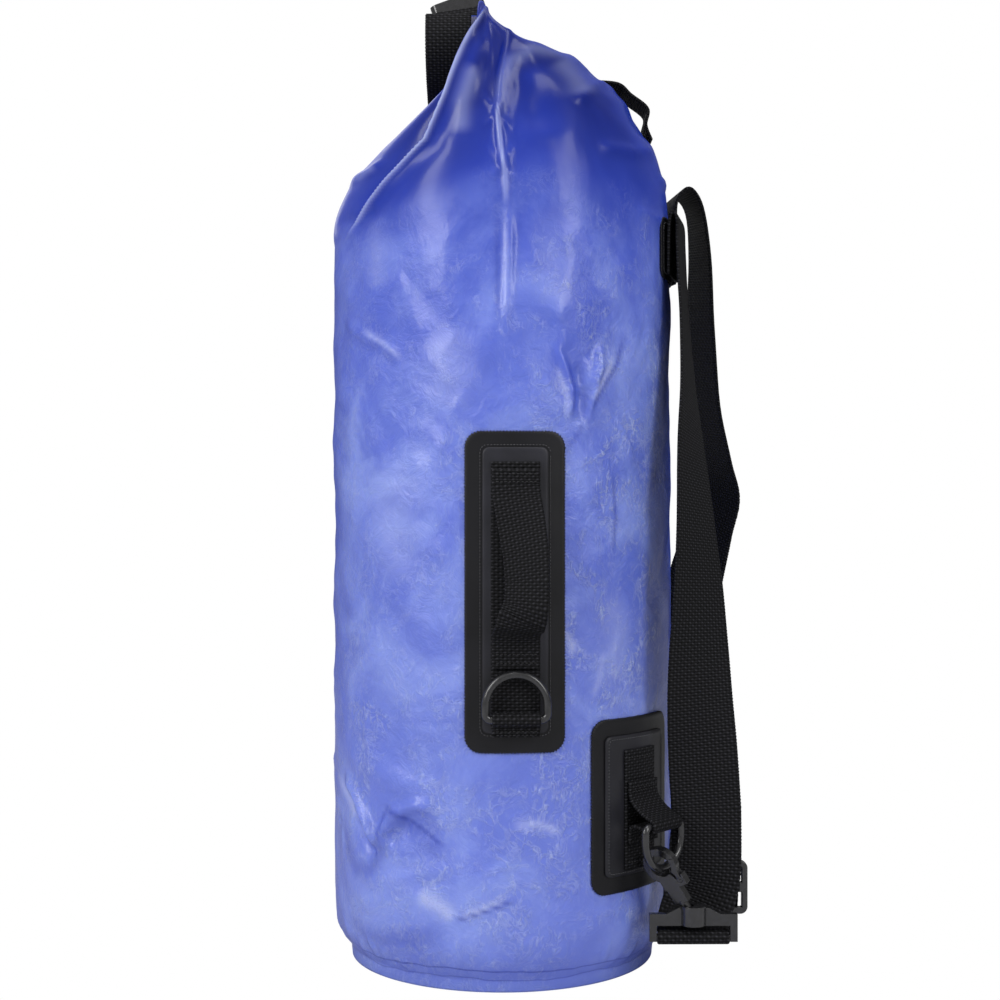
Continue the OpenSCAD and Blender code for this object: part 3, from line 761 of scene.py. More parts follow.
def film_grid():
    """Rows up the film: positions, angles, laid-out heights and shares of the neck."""
    low_rows = np.array([0.0, 1.0, 2.4, 4.0, 5.6, 6.8, 7.6, 8.6])
    rows = np.concatenate([low_rows, np.arange(10.0, TUBE_TOP - 0.5, 2.2)])
    around = np.linspace(-180, 180, 420, endpoint=False)
    low_angle, low_z = np.meshgrid(around, rows)
    radius = np.interp(low_z, FOOT_PROFILE[:, 0], FOOT_PROFILE[:, 1])
    low = np.stack([radius * sind(low_angle), radius * cosd(low_angle), low_z], -1)
    neck_angle, share = np.meshgrid(around, np.linspace(0, 1, 96))
    return (np.concatenate([low, neck(neck_angle, share)], 0),
            np.concatenate([low_angle, neck_angle], 0),
            np.concatenate([low_z, TUBE_TOP + NECK_HEIGHT * share], 0),
            np.concatenate([np.zeros_like(low_z), share], 0))


def film_normals(position):
    around = np.roll(position, -1, 1) - np.roll(position, 1, 1)
    normal = unit(np.cross(np.gradient(position, axis=0), around))
    radial = np.concatenate([position[..., :2], 0 * position[..., 2:]], -1)
    # the lowest rows tell which way is outwards
    return normal * np.sign((normal[:100] * radial[:100]).sum(-1).mean())


def stuffing(angle, height):
    """Broad uneven bulges of the contents."""
    bulges = (0.55 * tube_noise(angle, height, 50, 90, seed=3)
              + 0.38 * tube_noise(angle, height, 24, 42, seed=4)
              + 0.16 * tube_noise(angle, height, 11, 17, seed=5))
    fade = np.interp(height, [0, 60, 380, 420, 545], [1, 1, 1, 0.6, 0.15])
    return np.clip((height - 8) / 18, 0, 1) * bulges * fade


def add_tube_folds(lift, angle, height):
    def add(line, rise, width, taper, sign=1):
        distance, along, _, _ = tube_distance(angle * sign, height, line)
        lift[...] += ridge(distance, along, rise, width, taper)

    for rise, width, points in TUBE_FOLDS:
        for sign in (1, -1):
            add(tube_line(points), rise, width, 0.25, sign)
    # puckers of the seam at the foot
    puckers = 46
    for k in range(puckers):
        start = -180 + 360 * (k + rng.uniform(-0.35, 0.35)) / puckers
        length = rng.uniform(9, 26)
        line = [(start, 7.2), (start + rng.uniform(-2.5, 2.5), 7 + length)]
        add(line, rise=rng.uniform(0.35, 1.15), width=rng.uniform(1.8, 3.4), taper=0.5)
    # short creases all round
    for _ in range(90):
        a0, z0 = rng.uniform(-180, 180), rng.uniform(45, 400)
        slope, length = rng.uniform(0, math.pi), rng.uniform(12, 42)
        da, dz = math.cos(slope) * length / 1.7, math.sin(slope) * length
        middle = (a0 + da / 2 + rng.uniform(-4, 4), z0 + dz / 2 + rng.uniform(-5, 5))
        add([(a0, z0), middle, (a0 + da, z0 + dz)],
            rise=rng.choice([-1, 1]) * rng.uniform(0.25, 0.7),
            width=rng.uniform(1.6, 3.6), taper=0.4)


def hold_down(lift, angle, height, azimuth, patch):
    """Press the film flat under a patch, with a soft border."""
    margin, soft = 2, 7.0
    centre, width, tall = patch
    turn = (angle - (90 - azimuth) + 180) % 360 - 180
    x = np.abs(turn) * BAG_RADIUS * math.pi / 180 - (width / 2 + margin)
    y = np.abs(height - centre) - (tall / 2 + margin)
    k = np.clip(np.hypot(np.maximum(x, 0), np.maximum(y, 0)) / soft, 0, 1)
    return np.where(lift > 0, lift * k, lift * (0.15 + 0.85 * k)) - (1 - k) * 0.22


def shape_neck(lift, position, angle, height, share, side):
    """Sculpt the neck; side fades from 1 at the flanks to 0 at the middle plane."""
    y, z = position[..., 1], position[..., 2]

    def add(points, rise, width, taper=0.2, through=False):
        distance, along, _, _ = line_distance(y, z, points)
        strength = 1.0 if through else side
        lift[...] += ridge(distance, along, rise, width, taper) * strength * (height > 380)

    # the front panel stands proud between the side folds
    front = np.exp(-((180 - np.abs(angle)) / 48.0) ** 2)
    lift += 9.0 * front * np.sin(np.pi * share ** 1.1)
    add(NECK_FOLD, rise=1.6, width=1.7, taper=0.08)
    # the film is sunk in front of the sharp fold (-1), and a little behind it (+1)
    distance, _, along, which = line_distance(y, z, NECK_FOLD)
    end = np.clip(along / 0.12, 0, 1) * np.clip((1 - along) / 0.25, 0, 1)
    k = np.clip(distance / 2.0, 0, 1)
    in_front = 5.5 * end * k * k * (3 - 2 * k) * np.exp(-distance / 6.5)
    behind = 1.5 * end * k * np.exp(-((distance - 7) / 5.0) ** 2)
    lift -= np.where(which < 0, in_front, 0) * side * (height > 400)
    lift -= np.where(which > 0, behind, 0) * side * (height > 400)
    for rise, width, taper, through, points in NECK_SIDE_FOLDS:
        add(points, rise, width, taper, through)
    for cy, cz in PINCH_CROSSINGS:
        add([(cy - 9, cz + 10), (cy, cz), (cy + 8, cz - 11)], rise=0.9, width=1.7)
        add([(cy + 7, cz + 11), (cy, cz), (cy - 8, cz - 9)], rise=0.9, width=1.7)
    for rise, width, taper, through, points in NECK_SHOULDER_FOLDS:
        add(points, rise, width, taper, through)


def painted_light_tint(position, angle, height, side, tube_rows, neck_rows):
    """Strength of one channel of painted light over the film, from its lines on the tube and on the
    neck: the shade channel darkens the film, the highlight channel makes it milky.
    """
    channel = np.zeros_like(angle)
    on_tube = np.clip((416 - height) / 24, 0, 1)
    on_neck = np.clip((height - 392) / 24, 0, 1)
    for strength, width, points in tube_rows:
        for sign in (1, -1):
            distance, along, _, _ = tube_distance(angle * sign, height, tube_line(points))
            end = np.clip(np.minimum(along, 1 - along) / 0.18, 0, 1)
            line = strength * end * np.exp(-((distance / width) ** 2)) * on_tube
            channel = np.maximum(channel, line)
    for strength, width, points in neck_rows:
        distance, _, along, _ = line_distance(position[..., 1], position[..., 2], points)
        end = np.clip(np.minimum(along, 1 - along) / 0.15, 0, 1)
        line = strength * end * np.exp(-((distance / width) ** 2)) * side * on_neck
        channel = np.maximum(channel, line)
    return channel


def film_tube():
    position, angle, height, share = film_grid()
    side = np.minimum(np.abs(position[..., 0] / 20), 1)
    lift = stuffing(angle, height)
    add_tube_folds(lift, angle, height)
    for azimuth, patch in ((HANDLE_AZIMUTH, HANDLE_PATCH), (anchor_azimuth(1), ANCHOR_PATCH),
                           (anchor_azimuth(-1), ANCHOR_PATCH), (BACK_AZIMUTH, BACK_PATCH)):
        lift = hold_down(lift, angle, height, azimuth, patch)
    # the straps rest against the back: bulges there stay low
    back = np.clip((cosd(angle) - 0.75) / 0.1, 0, 1) * (height > 60) * (height < 500)
    lowered = lift * (1 - back) + np.minimum(lift, 0.7) * back
    lift = np.where(lift > 0.7, lowered, lift)
    shape_neck(lift, position, angle, height, share, side)
    # no displacement at the mouth
    lift = lift * np.interp(share, [0, 0.85, 1.0], [1, 1, 0.0])
    film = position + film_normals(position) * lift[..., None]
    film[..., 2] = np.maximum(film[..., 2], 0.0)

    rows, columns = angle.shape
    index = np.arange(rows * columns).reshape(rows, columns)
    beside = np.roll(index, -1, 1)
    faces = np.stack([index[:-1], index[1:], beside[1:], beside[:-1]], -1).reshape(-1, 4)
    faces = faces.tolist()
    # an inner skin close behind the foot, so that no bare edge shows
    verts = [film.reshape(-1, 3)]
    radius = np.hypot(film[0, :, 0], film[0, :, 1])
    last = index[0]
    for k, z in enumerate((0.0, 6.5)):
        ring = film[0].copy()
        ring[:, :2] *= ((radius - 0.85) / radius)[:, None]
        ring[:, 2] = z
        verts.append(ring)
        new = rows * columns + k * columns + np.arange(columns)
        faces += np.stack([last, np.roll(last, -1), np.roll(new, -1), new], -1).tolist()
        last = new
    verts = np.concatenate(verts)
    uv = np.concatenate([np.stack([angle * 1.7, height], -1).reshape(-1, 2),
                         np.zeros((2 * columns, 2))])
    obj = new_object("film_tube", verts, faces, FILM, uv)

    # red: painted shade in the creases, green: painted milky highlights along them
    colour = np.zeros((len(verts), 4), dtype=np.float32)
    colour[:, 3] = 1
    for channel, tube_rows, neck_rows in ((0, TUBE_PAINTED_SHADE, NECK_PAINTED_SHADE), (1, TUBE_PAINTED_HIGHLIGHT, NECK_PAINTED_HIGHLIGHT)):
        painted_light_amount = painted_light_tint(position, angle, height, side, tube_rows, neck_rows)
        colour[:angle.size, channel] = painted_light_amount.ravel()
    painted_crease_light = obj.data.color_attributes.new("painted_crease_light", "FLOAT_COLOR", "POINT")
    painted_crease_light.data.foreach_set("color", colour.ravel())
    fit(obj, ["bag_tube"], "bag")


film_tube()

# section of the base panel from the middle to its upturned rim: radius, height
BASE_PROFILE = np.array([
    (0.5, 0), (12, 0), (24, 0), (36, 0), (48, 0.02), (56, 0.15), (62, 0.5), (67, 1.2),
    (72, 2.3), (77, 3.9), (81, 5.2), (83.3, 5.7), (84.2, 5.5), (84.6, 4.2), (84.7, 1.0),
    (84.8, 0.3), (85.1, 0.05), (85.4, 0.3), (85.5, 1.0), (85.5, 7.0)])


def base_panel():
    columns = 180
    around = np.linspace(0, 360, columns, endpoint=False)
    angle, row = np.meshgrid(around, np.arange(len(BASE_PROFILE)))
    radius, z = BASE_PROFILE[row, 0], BASE_PROFILE[row, 1]
    # 23 puckers in the band near the rim
    band = np.clip((radius - 60) / 10, 0, 1) * np.clip((81 - radius) / 6, 0, 1)
    z = z + 0.3 * (1 + np.sin(np.radians(angle) * 23)) * band
    verts = np.stack([radius * sind(angle), radius * cosd(angle), z], -1).reshape(-1, 3)
    faces = skin(len(BASE_PROFILE), columns, caps=False)
    faces.append(tuple(range(columns - 1, -1, -1)))
    fit(new_object("base_disc", verts, faces, FILM), ["base_panel"], "bag")


base_panel()


# ---------------------------------------------------------------- rolled mouth
def mouth_roll():
    """Flat roll of film bent along the mouth loop."""
    half_width, half_thick = 16.6, 4.55
    bend = np.linspace(-112, 112, 150)
    centre = loop_point(bend, 0.0, ROLL_Y)
    along = unit(np.gradient(centre, axis=0))
    across = np.array([0, 1.0, 0])
    normal = np.cross(along, np.broadcast_to(across, along.shape))
    count = 64
    a = np.linspace(0, 2 * math.pi, count, endpoint=False)
    x = np.sign(np.cos(a)) * np.abs(np.cos(a)) ** 0.42 * half_width
    z = np.sign(np.sin(a)) * np.abs(np.sin(a)) ** 0.62 * half_thick
    turn = bend[:, None]
    wobble = 0.35 * np.sin(3 * a + turn / 9) + 0.25 * np.sin(5 * a - turn / 13)
    layers = 0.30 * np.sign(np.sin(a * 9)) * (np.abs(x) > half_width * 0.93)
    rise = (z + 0.35 * wobble + layers) * 0.96
    verts = centre[:, None] + across * x[:, None] + normal[:, None] * rise[..., None]
    obj = new_object("rolled_mouth", verts.reshape(-1, 3), skin(len(bend), count), FILM)
    fit(obj, ["mouth_roll"], "bag")


def mouth_webbing():
    bend = np.linspace(-112, 112, 70)
    centre = loop_point(bend, ROLL_THICKNESS / 2 + 1.3, ROLL_Y - 4.5)
    web_strip("mouth_webbing", centre, np.tile([0, 1.0, 0], (len(bend), 1)), ["mouth_web"],
              "bag", wobble=0.12, seed=1)


def closing_straps():
    """Short webbings from the ends of the roll up to the buckle halves."""
    # x, z on the right
    stations = [(42.6, 511), (42.2, 516), (39.4, 523.5), (35.6, 530.2), (32.8, 534.8)]
    for name, sign in reversed(SIDES):
        centre = catmull([(x, ROLL_Y, z) for x, z in stations], 6)
        centre[:, 0] *= sign
        twist = np.linspace(0, 1, len(centre)) * 20
        across = np.stack([0 * twist, cosd(twist), sind(twist)], 1)
        obj = web_strip("closing_strap_" + name, centre, across, ["buckle_web_" + name],
                        "bag" if sign < 0 else None, wobble=0.05, seed=3)
        if sign > 0:
            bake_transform(obj)


mouth_roll()
mouth_webbing()
closing_straps()

# ---------------------------------------------------------------- patches
# layers on the tube: radius of the underside of each
PATCH_UNDER = BAG_RADIUS + 0.1
PANEL_UNDER = BAG_RADIUS + 1.2
FLAT_WEB_UNDER = BAG_RADIUS + 2.3
PINK_DEPTH, PINK_PITCH = 0.9, 1.7


def rounded_outline(width, height, corner, pinked=False):
    """Rounded rectangle as (across, up) points; pinked gives it a zigzag edge."""
    x, y = width / 2 - corner, height / 2 - corner
    points = []
    for cx, cy, start in ((x, y, 0), (-x, y, 90), (-x, -y, 180), (x, -y, 270)):
        for a in np.linspace(start, start + 90, 14):
            points.append((cx + corner * cosd(a), cy + corner * sind(a)))
    outline, s = resample(np.array(points + [points[0]]), 0.45)
    outline, s = outline[:-1], s[:-1]
    if pinked:
        along = unit(np.roll(outline, -1, 0) - np.roll(outline, 1, 0))
        outward = np.stack([along[:, 1], -along[:, 0]], 1)
        zigzag = np.abs(((s / PINK_PITCH) % 1) * 2 - 1) * 2 - 1
        outline = outline + outward * (zigzag * PINK_DEPTH / 2)[:, None]
    return outline


def on_tube(across, z, radius, azimuth):
    """A flat layout wrapped round the bag, centred on the azimuth."""
    a = azimuth + np.degrees(across / BAG_RADIUS)
    return np.stack([radius * cosd(a), radius * sind(a), z], -1)


def plate(name, node, azimuth, place, corner, under, thickness, material, bead, wave, seed,
          pinked=False):
    """A patch wrapped on the tube; place is (height of centre, width, height)."""
    centre, width, height = place
    plain = rounded_outline(width, height, corner)
    cut = rounded_outline(width, height, corner, pinked)

    def inset(distance):
        return np.array([(width / 2 - distance) / (width / 2),
                         (height / 2 - distance) / (height / 2)])

    # distance in from the edge, height above the underside
    rim = [(0, 0.0), (0, thickness * 0.8), (0.35, thickness), (1.0, thickness + bead),
           (2.2, thickness + bead * 0.3), (4.0, thickness), (7.0, thickness), (11.0, thickness)]
    rings = [((cut if distance < 0.9 else plain) * inset(distance), rise)
             for distance, rise in rim]
    shrinks = [(0.8, 0.9)] + [(f / 0.62, 0.2 + 0.8 * f) for f in (0.4, 0.2, 0.06)]
    rings += [(plain * inset(11.0) * np.array(shrink), thickness) for shrink in shrinks]

    phase = np.random.default_rng(seed + 3).uniform(0, 6.28, 4)
    verts = []
    for ring, rise in rings:
        x, y = ring[:, 0], ring[:, 1]
        uneven = wave * (np.sin(y / 9 + phase[0]) * np.sin(x / 6 + phase[1])
                         + 0.5 * np.sin(y / 4 + phase[2]))
        uneven = np.maximum(uneven, -thickness * 0.5) if rise > 0 else 0
        verts.append(on_tube(x, y + centre, under + rise + uneven, azimuth))
    count = len(plain)
    faces = skin(len(rings), count, caps=False)
    faces.append(tuple((len(rings) - 1) * count + j for j in range(count)))
    faces.append(tuple(range(count - 1, -1, -1)))
    fit(new_object(name, np.concatenate(verts), faces, material), [node], "bag")


def patch(name, node, azimuth, place, corner, wave, seed):
    plate(name, node, azimuth, place, corner, PATCH_UNDER, 1.0, PATCH_PVC,
          bead=0.15, wave=wave, seed=seed, pinked=True)


def panel(name, node, azimuth, place, bead, seed):
    plate(name, node, azimuth, place, 3.5, PANEL_UNDER, 1.05, PANEL_PVC,
          bead=bead, wave=0.12, seed=seed)


def stitched_outline(name, azimuth, centre, width, height, corner, radius):
    outline = rounded_outline(width, height, corner)
    path = on_tube(outline[:, 0], outline[:, 1] + centre, radius, azimuth)
    normals = on_tube(outline[:, 0], 0 * outline[:, 1], 1.0, azimuth)
    stitches(name, np.concatenate([path, path[:1]]), np.concatenate([normals, normals[:1]]),
             THREAD, pitch=1.7, length=1.05, radius=0.21)


def bar_tack(name, path, normals):
    stitches(name, path, normals, BLACK_THREAD, pitch=2.2, length=1.7)


def flat_web(name, node, azimuth, centre, height, seed):
    """Upright webbing sewn flat on the tube, curved to follow it."""
    z = np.linspace(centre + height / 2, centre - height / 2, 60)
    line = on_tube(0 * z, z, FLAT_WEB_UNDER + THIN_WEB / 2, azimuth)
    across = np.tile([-sind(azimuth), cosd(azimuth), 0.0], (len(z), 1))
    verts, faces, uv = strip_mesh(line, across, WEB_WIDTH, THIN_WEB, wobble=0.05, seed=seed)
    local = rotate(verts, -azimuth)
    radius, a = local[:, 0].copy(), local[:, 1] / BAG_RADIUS
    local[:, 0], local[:, 1] = radius * np.cos(a), radius * np.sin(a)
    obj = new_object(name, rotate(local, azimuth), faces, WEBBING, uv)
    fit(obj, [node], "bag")


def handle_and_back_patches():
    patch("handle_patch_pvc", "handle_patch", HANDLE_AZIMUTH, HANDLE_PATCH, 8.5,
          wave=0.10, seed=1)
    panel("handle_panel_pvc", "handle_panel", HANDLE_AZIMUTH, (213, 34, 149),
          bead=0.15, seed=2)
    stitched_outline("handle_panel_stitches", HANDLE_AZIMUTH, 213, width=36.6, height=151.6,
                     corner=4, radius=BAG_RADIUS + 1.25)
    flat_web("handle_base_webbing", "handle_base_web", HANDLE_AZIMUTH, 210.5, height=139, seed=5)
    patch("back_patch_pvc", "upper_back_patch", BACK_AZIMUTH, BACK_PATCH, 6, wave=0.08, seed=3)
    stitched_outline("back_patch_stitches", BACK_AZIMUTH, BACK_PATCH[0], width=80.5,
                     height=28.5, corner=4, radius=BAG_RADIUS + 1.15)


def anchor_patches(name, sign):
    azimuth, centre = anchor_azimuth(sign), ANCHOR_PATCH[0]
    patch("anchor_patch_pvc_" + name, "anchor_patch_" + name, azimuth, ANCHOR_PATCH, 8.5,
          wave=0.10, seed=4 + sign)
    panel("anchor_panel_pvc_" + name, "anchor_panel_" + name, azimuth, (centre, 50, 75),
          bead=0.35, seed=6 + sign)
    stitched_outline("anchor_panel_stitches_" + name, azimuth, centre, width=46.5, height=71.5,
                     corner=3, radius=BAG_RADIUS + 2.35)
    flat_web("anchor_webbing_" + name, "anchor_web_" + name, azimuth, 94, height=64,
             seed=8 + sign)
    for k, z in enumerate((122.0, 66.0)):
        across = np.linspace(-11.5, 11.5, 40)
        bar_tack(f"anchor_bartack_{name}_{k}",
                 on_tube(across, np.full_like(across, z), BAG_RADIUS + 3.85, azimuth),
                 on_tube(across, 0 * across, 1.0, azimuth))


handle_and_back_patches()
for side_name, side_sign in SIDES:
    anchor_patches(side_name, side_sign)

# ---------------------------------------------------------------- handle, rings and tabs
HANDLE_RADIUS = BAG_RADIUS + 4.7       # middle of the webbing where the handle is sewn down
HANDLE_RING_RADIUS, HANDLE_RING_Z = BAG_RADIUS + 8.0, 146.3
TAB_RADIUS = BAG_RADIUS + 4.75

# The grab handle is one webbing in two lengths that meet at its lower bend.
# Each path is (distance out from HANDLE_RADIUS, z).
HANDLE_UPPER = [(0, 276), (0, 268), (1.4, 261), (4, 254), (6.8, 245), (10.8, 234), (14.8, 219),
                (16.2, 206), (14.4, 199)]
HANDLE_LOWER = [(14.4, 199), (11, 194.5), (6.5, 192), (3.2, 189.6), (0.7, 185.8), (0, 181),
                (0, 172.5)]
# twist in degrees and sideways shift in mm, spread evenly along each length
UPPER_TWIST = [0, 0, 3, 10, 19, 28, 35, 31, 20]
UPPER_SHIFT = [0, 0, 0.5, 1.5, 2.7, 3.8, 4.4, 3.6, 2.2]
LOWER_TWIST = [20, 13, 6, 2, 0, 0, 0]
LOWER_SHIFT = [2.2, 1.2, 0.4, 0, 0, 0, 0]


def upright_strip(name, points, azimuth, nodes, body=None, twist=(0, 0), shift=(0, 0),
                  **settings):
    """Webbing along (radius, z) points in the vertical plane at an azimuth."""
    path = catmull(points, 8)
    share = np.linspace(0, 1, len(path))
    turn = np.interp(share, np.linspace(0, 1, len(twist)), twist)
    aside = np.interp(share, np.linspace(0, 1, len(shift)), shift)
    centre = np.stack([path[:, 0], aside, path[:, 1]], 1)
    across = np.stack([sind(turn), cosd(turn), 0 * turn], 1)
    return web_strip(name, rotate(centre, azimuth), rotate(across, azimuth), nodes, body,
                     **settings)


def straight_bar_tack(name, radius, z, azimuth):
    y = np.linspace(-11.2, 11.2, 40)
    path = np.stack([np.full_like(y, radius), y, np.full_like(y, z)], 1)
    normals = np.tile([1.0, 0, 0], (len(y), 1))
    bar_tack(name, rotate(path, azimuth), rotate(normals, azimuth))


def grab_handle():
    def place(out, z):
        return tuple(rotate(np.array([HANDLE_RADIUS + out, 0, z]), HANDLE_AZIMUTH) * MM)

    def path(points):
        return [(HANDLE_RADIUS + out, z) for out, z in points]

    upper = upright_strip("grab_handle_upper", path(HANDLE_UPPER), HANDLE_AZIMUTH,
                          ["grab_handle_top_end"], wobble=0.4, seed=21, cup=-0.5,
                          twist=UPPER_TWIST, shift=UPPER_SHIFT)
    place(2.0, 256)
    place(7.5, 243.0)
    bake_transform(upper)
    lower = upright_strip("grab_handle_lower", path(HANDLE_LOWER), HANDLE_AZIMUTH,
                          ["grab_handle_bottom_end", "grab_handle"], wobble=0.3, seed=22,
                          cup=-0.5, twist=LOWER_TWIST, shift=LOWER_SHIFT)
    place(2.0, 188)
    place(11.0, 195.0)
    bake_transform(lower)
    for k, z in enumerate((273.5, 269.5, 180.0, 175.5)):
        straight_bar_tack(f"handle_bartack_{k}", HANDLE_RADIUS + 0.85, z, HANDLE_AZIMUTH)


def d_ring_outline():
    """(across, up) points: straight bar at the top, half circle below."""
    half, straight, corner = 16.1, 7.3, 3.2
    inner = half - corner
    points = [(y, 0) for y in np.linspace(-inner, inner, 18)]
    points += [(inner + corner * cosd(a), -corner + corner * sind(a))
               for a in np.linspace(90, 0, 8)[1:]]
    points += [(half, z) for z in np.linspace(-corner, -straight, 4)[1:]]
    points += [(half * cosd(a), -straight + half * sind(a))
               for a in np.linspace(0, -180, 40)[1:]]
    points += [(-half, z) for z in np.linspace(-straight, -corner, 4)[1:]]
    points += [(-inner + corner * cosd(a), -corner + corner * sind(a))
               for a in np.linspace(180, 90, 8)[1:-1]]
    return np.array(points)


def d_ring(name, node, body, radius, z, azimuth, bar_below=False):
    outline = d_ring_outline()
    up = -1 if bar_below else 1
    path = np.stack([np.full(len(outline), radius), outline[:, 0], z + up * outline[:, 1]], 1)
    verts, faces = tube(rotate(path, azimuth), RING_WIRE_RADIUS, sides=20, closed=True)
    fit(new_object(name, verts, faces, PLASTIC), [node], body)


def arc(x, z, radius, angles):
    return [(x + radius * cosd(a), z + radius * sind(a)) for a in angles]


def handle_ring_webbing():
    """Webbing round the bar of the handle ring, its ends sewn below."""
    wrap = RING_WIRE_RADIUS + 0.15 + 0.8
    path = [(HANDLE_RADIUS, 137.0), (HANDLE_RADIUS - 0.02, 140.5), (HANDLE_RADIUS + 0.1, 144.0)]
    path += arc(HANDLE_RING_RADIUS, HANDLE_RING_Z, wrap, np.arange(200, -160, -14))
    path += [(HANDLE_RADIUS + 1.55, 141.5), (HANDLE_RADIUS + 1.5, 138.5)]
    upright_strip("handle_ring_webbing", path, HANDLE_AZIMUTH, ["handle_ring_loop"], "bag",
                  wobble=0.05, seed=31, thickness=THIN_WEB)
    for k, z in enumerate((140.2, 138.4)):
        straight_bar_tack(f"handle_ring_bartack_{k}", HANDLE_RADIUS + 2.25, z, HANDLE_AZIMUTH)


def anchor_tab(name, sign):
    """Webbing tab that holds an anchor ring."""
    wrap = RING_WIRE_RADIUS + 0.18 + 0.8
    x, z = TAB_RADIUS, ANCHOR_RING_Z
    path = [(x, z + 22), (x, z + 15.5), (x + 2.2, z + 10.8), (ANCHOR_RADIUS - 5, z + 5.9)]
    path += arc(ANCHOR_RADIUS, z, wrap, range(65, -128, -12))
    path += [(ANCHOR_RADIUS - 6.4, z - 1.6), (x + 1.6, z - 1.2), (x, z - 5), (x, z - 11)]
    azimuth = anchor_azimuth(sign)
    upright_strip("anchor_tab_webbing_" + name, path, azimuth, ["anchor_tab_" + name], "bag",
                  wobble=0.12, seed=33 + sign)
    for k, up in enumerate((19.5, 17.2)):
        straight_bar_tack(f"anchor_tab_bartack_{name}_{k}", x + 0.85, z + up, azimuth)


def haul_loop():
    """Webbing loop over the back of the neck, between two places on its film."""
    upper = neck(np.array([0.0]), np.array([0.655]))[0]
    lower = neck(np.array([0.0]), np.array([0.40]))[0]
    upper_out, lower_out = np.array([0, 0.35, 0.94]), np.array([0, 0.86, 0.5])
    middle_out = np.array([0, 0.72, 0.69])
    path = catmull([
        upper + upper_out * 2.2 + [0, -9, 0.5],
        upper + upper_out * 2.2,
        upper + upper_out * 5.5 + [0, 12, -4.5],
        (upper + lower) / 2 + 9.5 * middle_out,
        lower + lower_out * 6.5 + [0, -3, 7],
        lower + lower_out * 1.9,
        lower + lower_out * 1.9 + [0, 3.2, -8.5]], 8)
    web_strip("haul_loop_webbing", path, np.tile([1.0, 0, 0], (len(path), 1)), ["haul_loop"],
              "bag", wobble=0.25, seed=41)


grab_handle()
d_ring("handle_d_ring_wire", "handle_d_ring", "handle_ring", HANDLE_RING_RADIUS, HANDLE_RING_Z,
       HANDLE_AZIMUTH, bar_below=True)
for side_name, side_sign in SIDES:
    d_ring("anchor_d_ring_wire_" + side_name, "anchor_d_ring_" + side_name,
           "anchor_ring_" + side_name, ANCHOR_RADIUS, ANCHOR_RING_Z, anchor_azimuth(side_sign))
handle_ring_webbing()
for side_name, side_sign in SIDES:
    anchor_tab(side_name, side_sign)
haul_loop()

# ---------------------------------------------------------------- shoulder straps
STRAP_TOP_ANGLE = 12.5
STRAP_X = (BAG_RADIUS + 2.15) * sind(STRAP_TOP_ANGLE)
STRAP_Y = (BAG_RADIUS + 2.15) * cosd(STRAP_TOP_ANGLE)
STRAP_LOW_Y = 111.0                     # where the strap passes the adjuster
STRAP_LOW_X = HOOK_BALL[0] - 15.6
RETURN_X = HOOK_BALL[0] - 20.4
BAR_Z = HOOK_BALL[2] - 10.5             # web bar of the snap hook

# Stations from the sewn top end down: x (mirrored on the left), y, z, and the angle of the
# width direction, 0 along X and 90 along -Y
STRAP_STATIONS = {
    "right": [
        (STRAP_X, STRAP_Y, 386, 12.5), (STRAP_X, STRAP_Y, 407, 12.5),
        (STRAP_X + 0.1, STRAP_Y + 0.5, 416.5, 12.5), (STRAP_X + 0.5, STRAP_Y + 2.4, 421, 12.5),
        (STRAP_X + 1.0, STRAP_Y + 4.3, 416.5, 12.5), (STRAP_X + 1.4, STRAP_Y + 4.6, 405, 12.5),
        (26.5, 101.8, 385, 12), (32, 103, 355, 13), (41, 104, 318, 19), (49, 104.6, 285, 29),
        (55, 106, 250, 38), (59.5, 107, 215, 49), (61.5, 107, 180, 62), (62, 107.5, 152, 74),
        (61.2, 109, 125, 86), (61, 109.8, 111, 90)],
    "left": [
        (STRAP_X, STRAP_Y, 386, 12.5), (STRAP_X, STRAP_Y, 404, 12.5),
        (STRAP_X + 0.3, STRAP_Y + 1.0, 420, 11), (24, 99.8, 435, 8), (25, 107.5, 443, 6),
        (27, 115.2, 433, 7), (30.5, 118.8, 405, 12), (36, 120, 365, 16), (43, 124, 318, 18),
        (49.5, 130.5, 285, 22), (56, 134, 262, 32), (59.5, 127, 238, 44), (62, 118.5, 205, 56),
        (62.6, 112, 170, 70), (61.6, 110, 140, 82), (61, 109.8, 111, 90)],
}


def strap_tail():
    """The strap from the adjuster down round the web bar and back."""
    wrap = 1.9 + 0.2 + 0.8
    bar_x, x, z = HOOK_BALL[0], STRAP_LOW_X, BAR_Z
    down = catmull([
        (x, STRAP_LOW_Y, 92), (x, STRAP_LOW_Y, 62), (x + 0.3, 109, 48), (x + 2.2, 105.5, 39),
        (x + 5.6, 103.2, 33.2), (x + 9.8, 102.3, z + wrap + 0.35), (bar_x - 1, 102, z + wrap)], 7)
    around = [(bar_x + wrap * cosd(a), 102, z + wrap * sind(a)) for a in range(80, -91, -10)]
    back = catmull([
        (bar_x - 3, 102, z - wrap), (bar_x - 9, 102.6, z - wrap + 0.3),
        (bar_x - 15.5, 104.5, z - wrap + 1.6), (RETURN_X + 0.6, 107.5, 28.3),
        (RETURN_X - 0.2, 109, 32)], 6)
    path = np.concatenate([down, around, back])
    return np.concatenate([path, np.full((len(path), 1), 90)], 1)


def shoulder_strap(name, sign):
    rows = np.concatenate([catmull(STRAP_STATIONS[name], 6), strap_tail()])
    centre, turn = rows[:, :3].copy(), rows[:, 3]
    across = np.stack([cosd(turn), -sind(turn), 0 * turn], 1)
    centre[:, 0] *= sign
    across[:, 0] *= sign
    obj = web_strip("shoulder_strap_webbing_" + name, centre, across,
                    ["shoulder_strap_" + name, "strap_loop_" + name], width=38,
                    wobble=0.30, seed=50 + sign)
    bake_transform(obj)


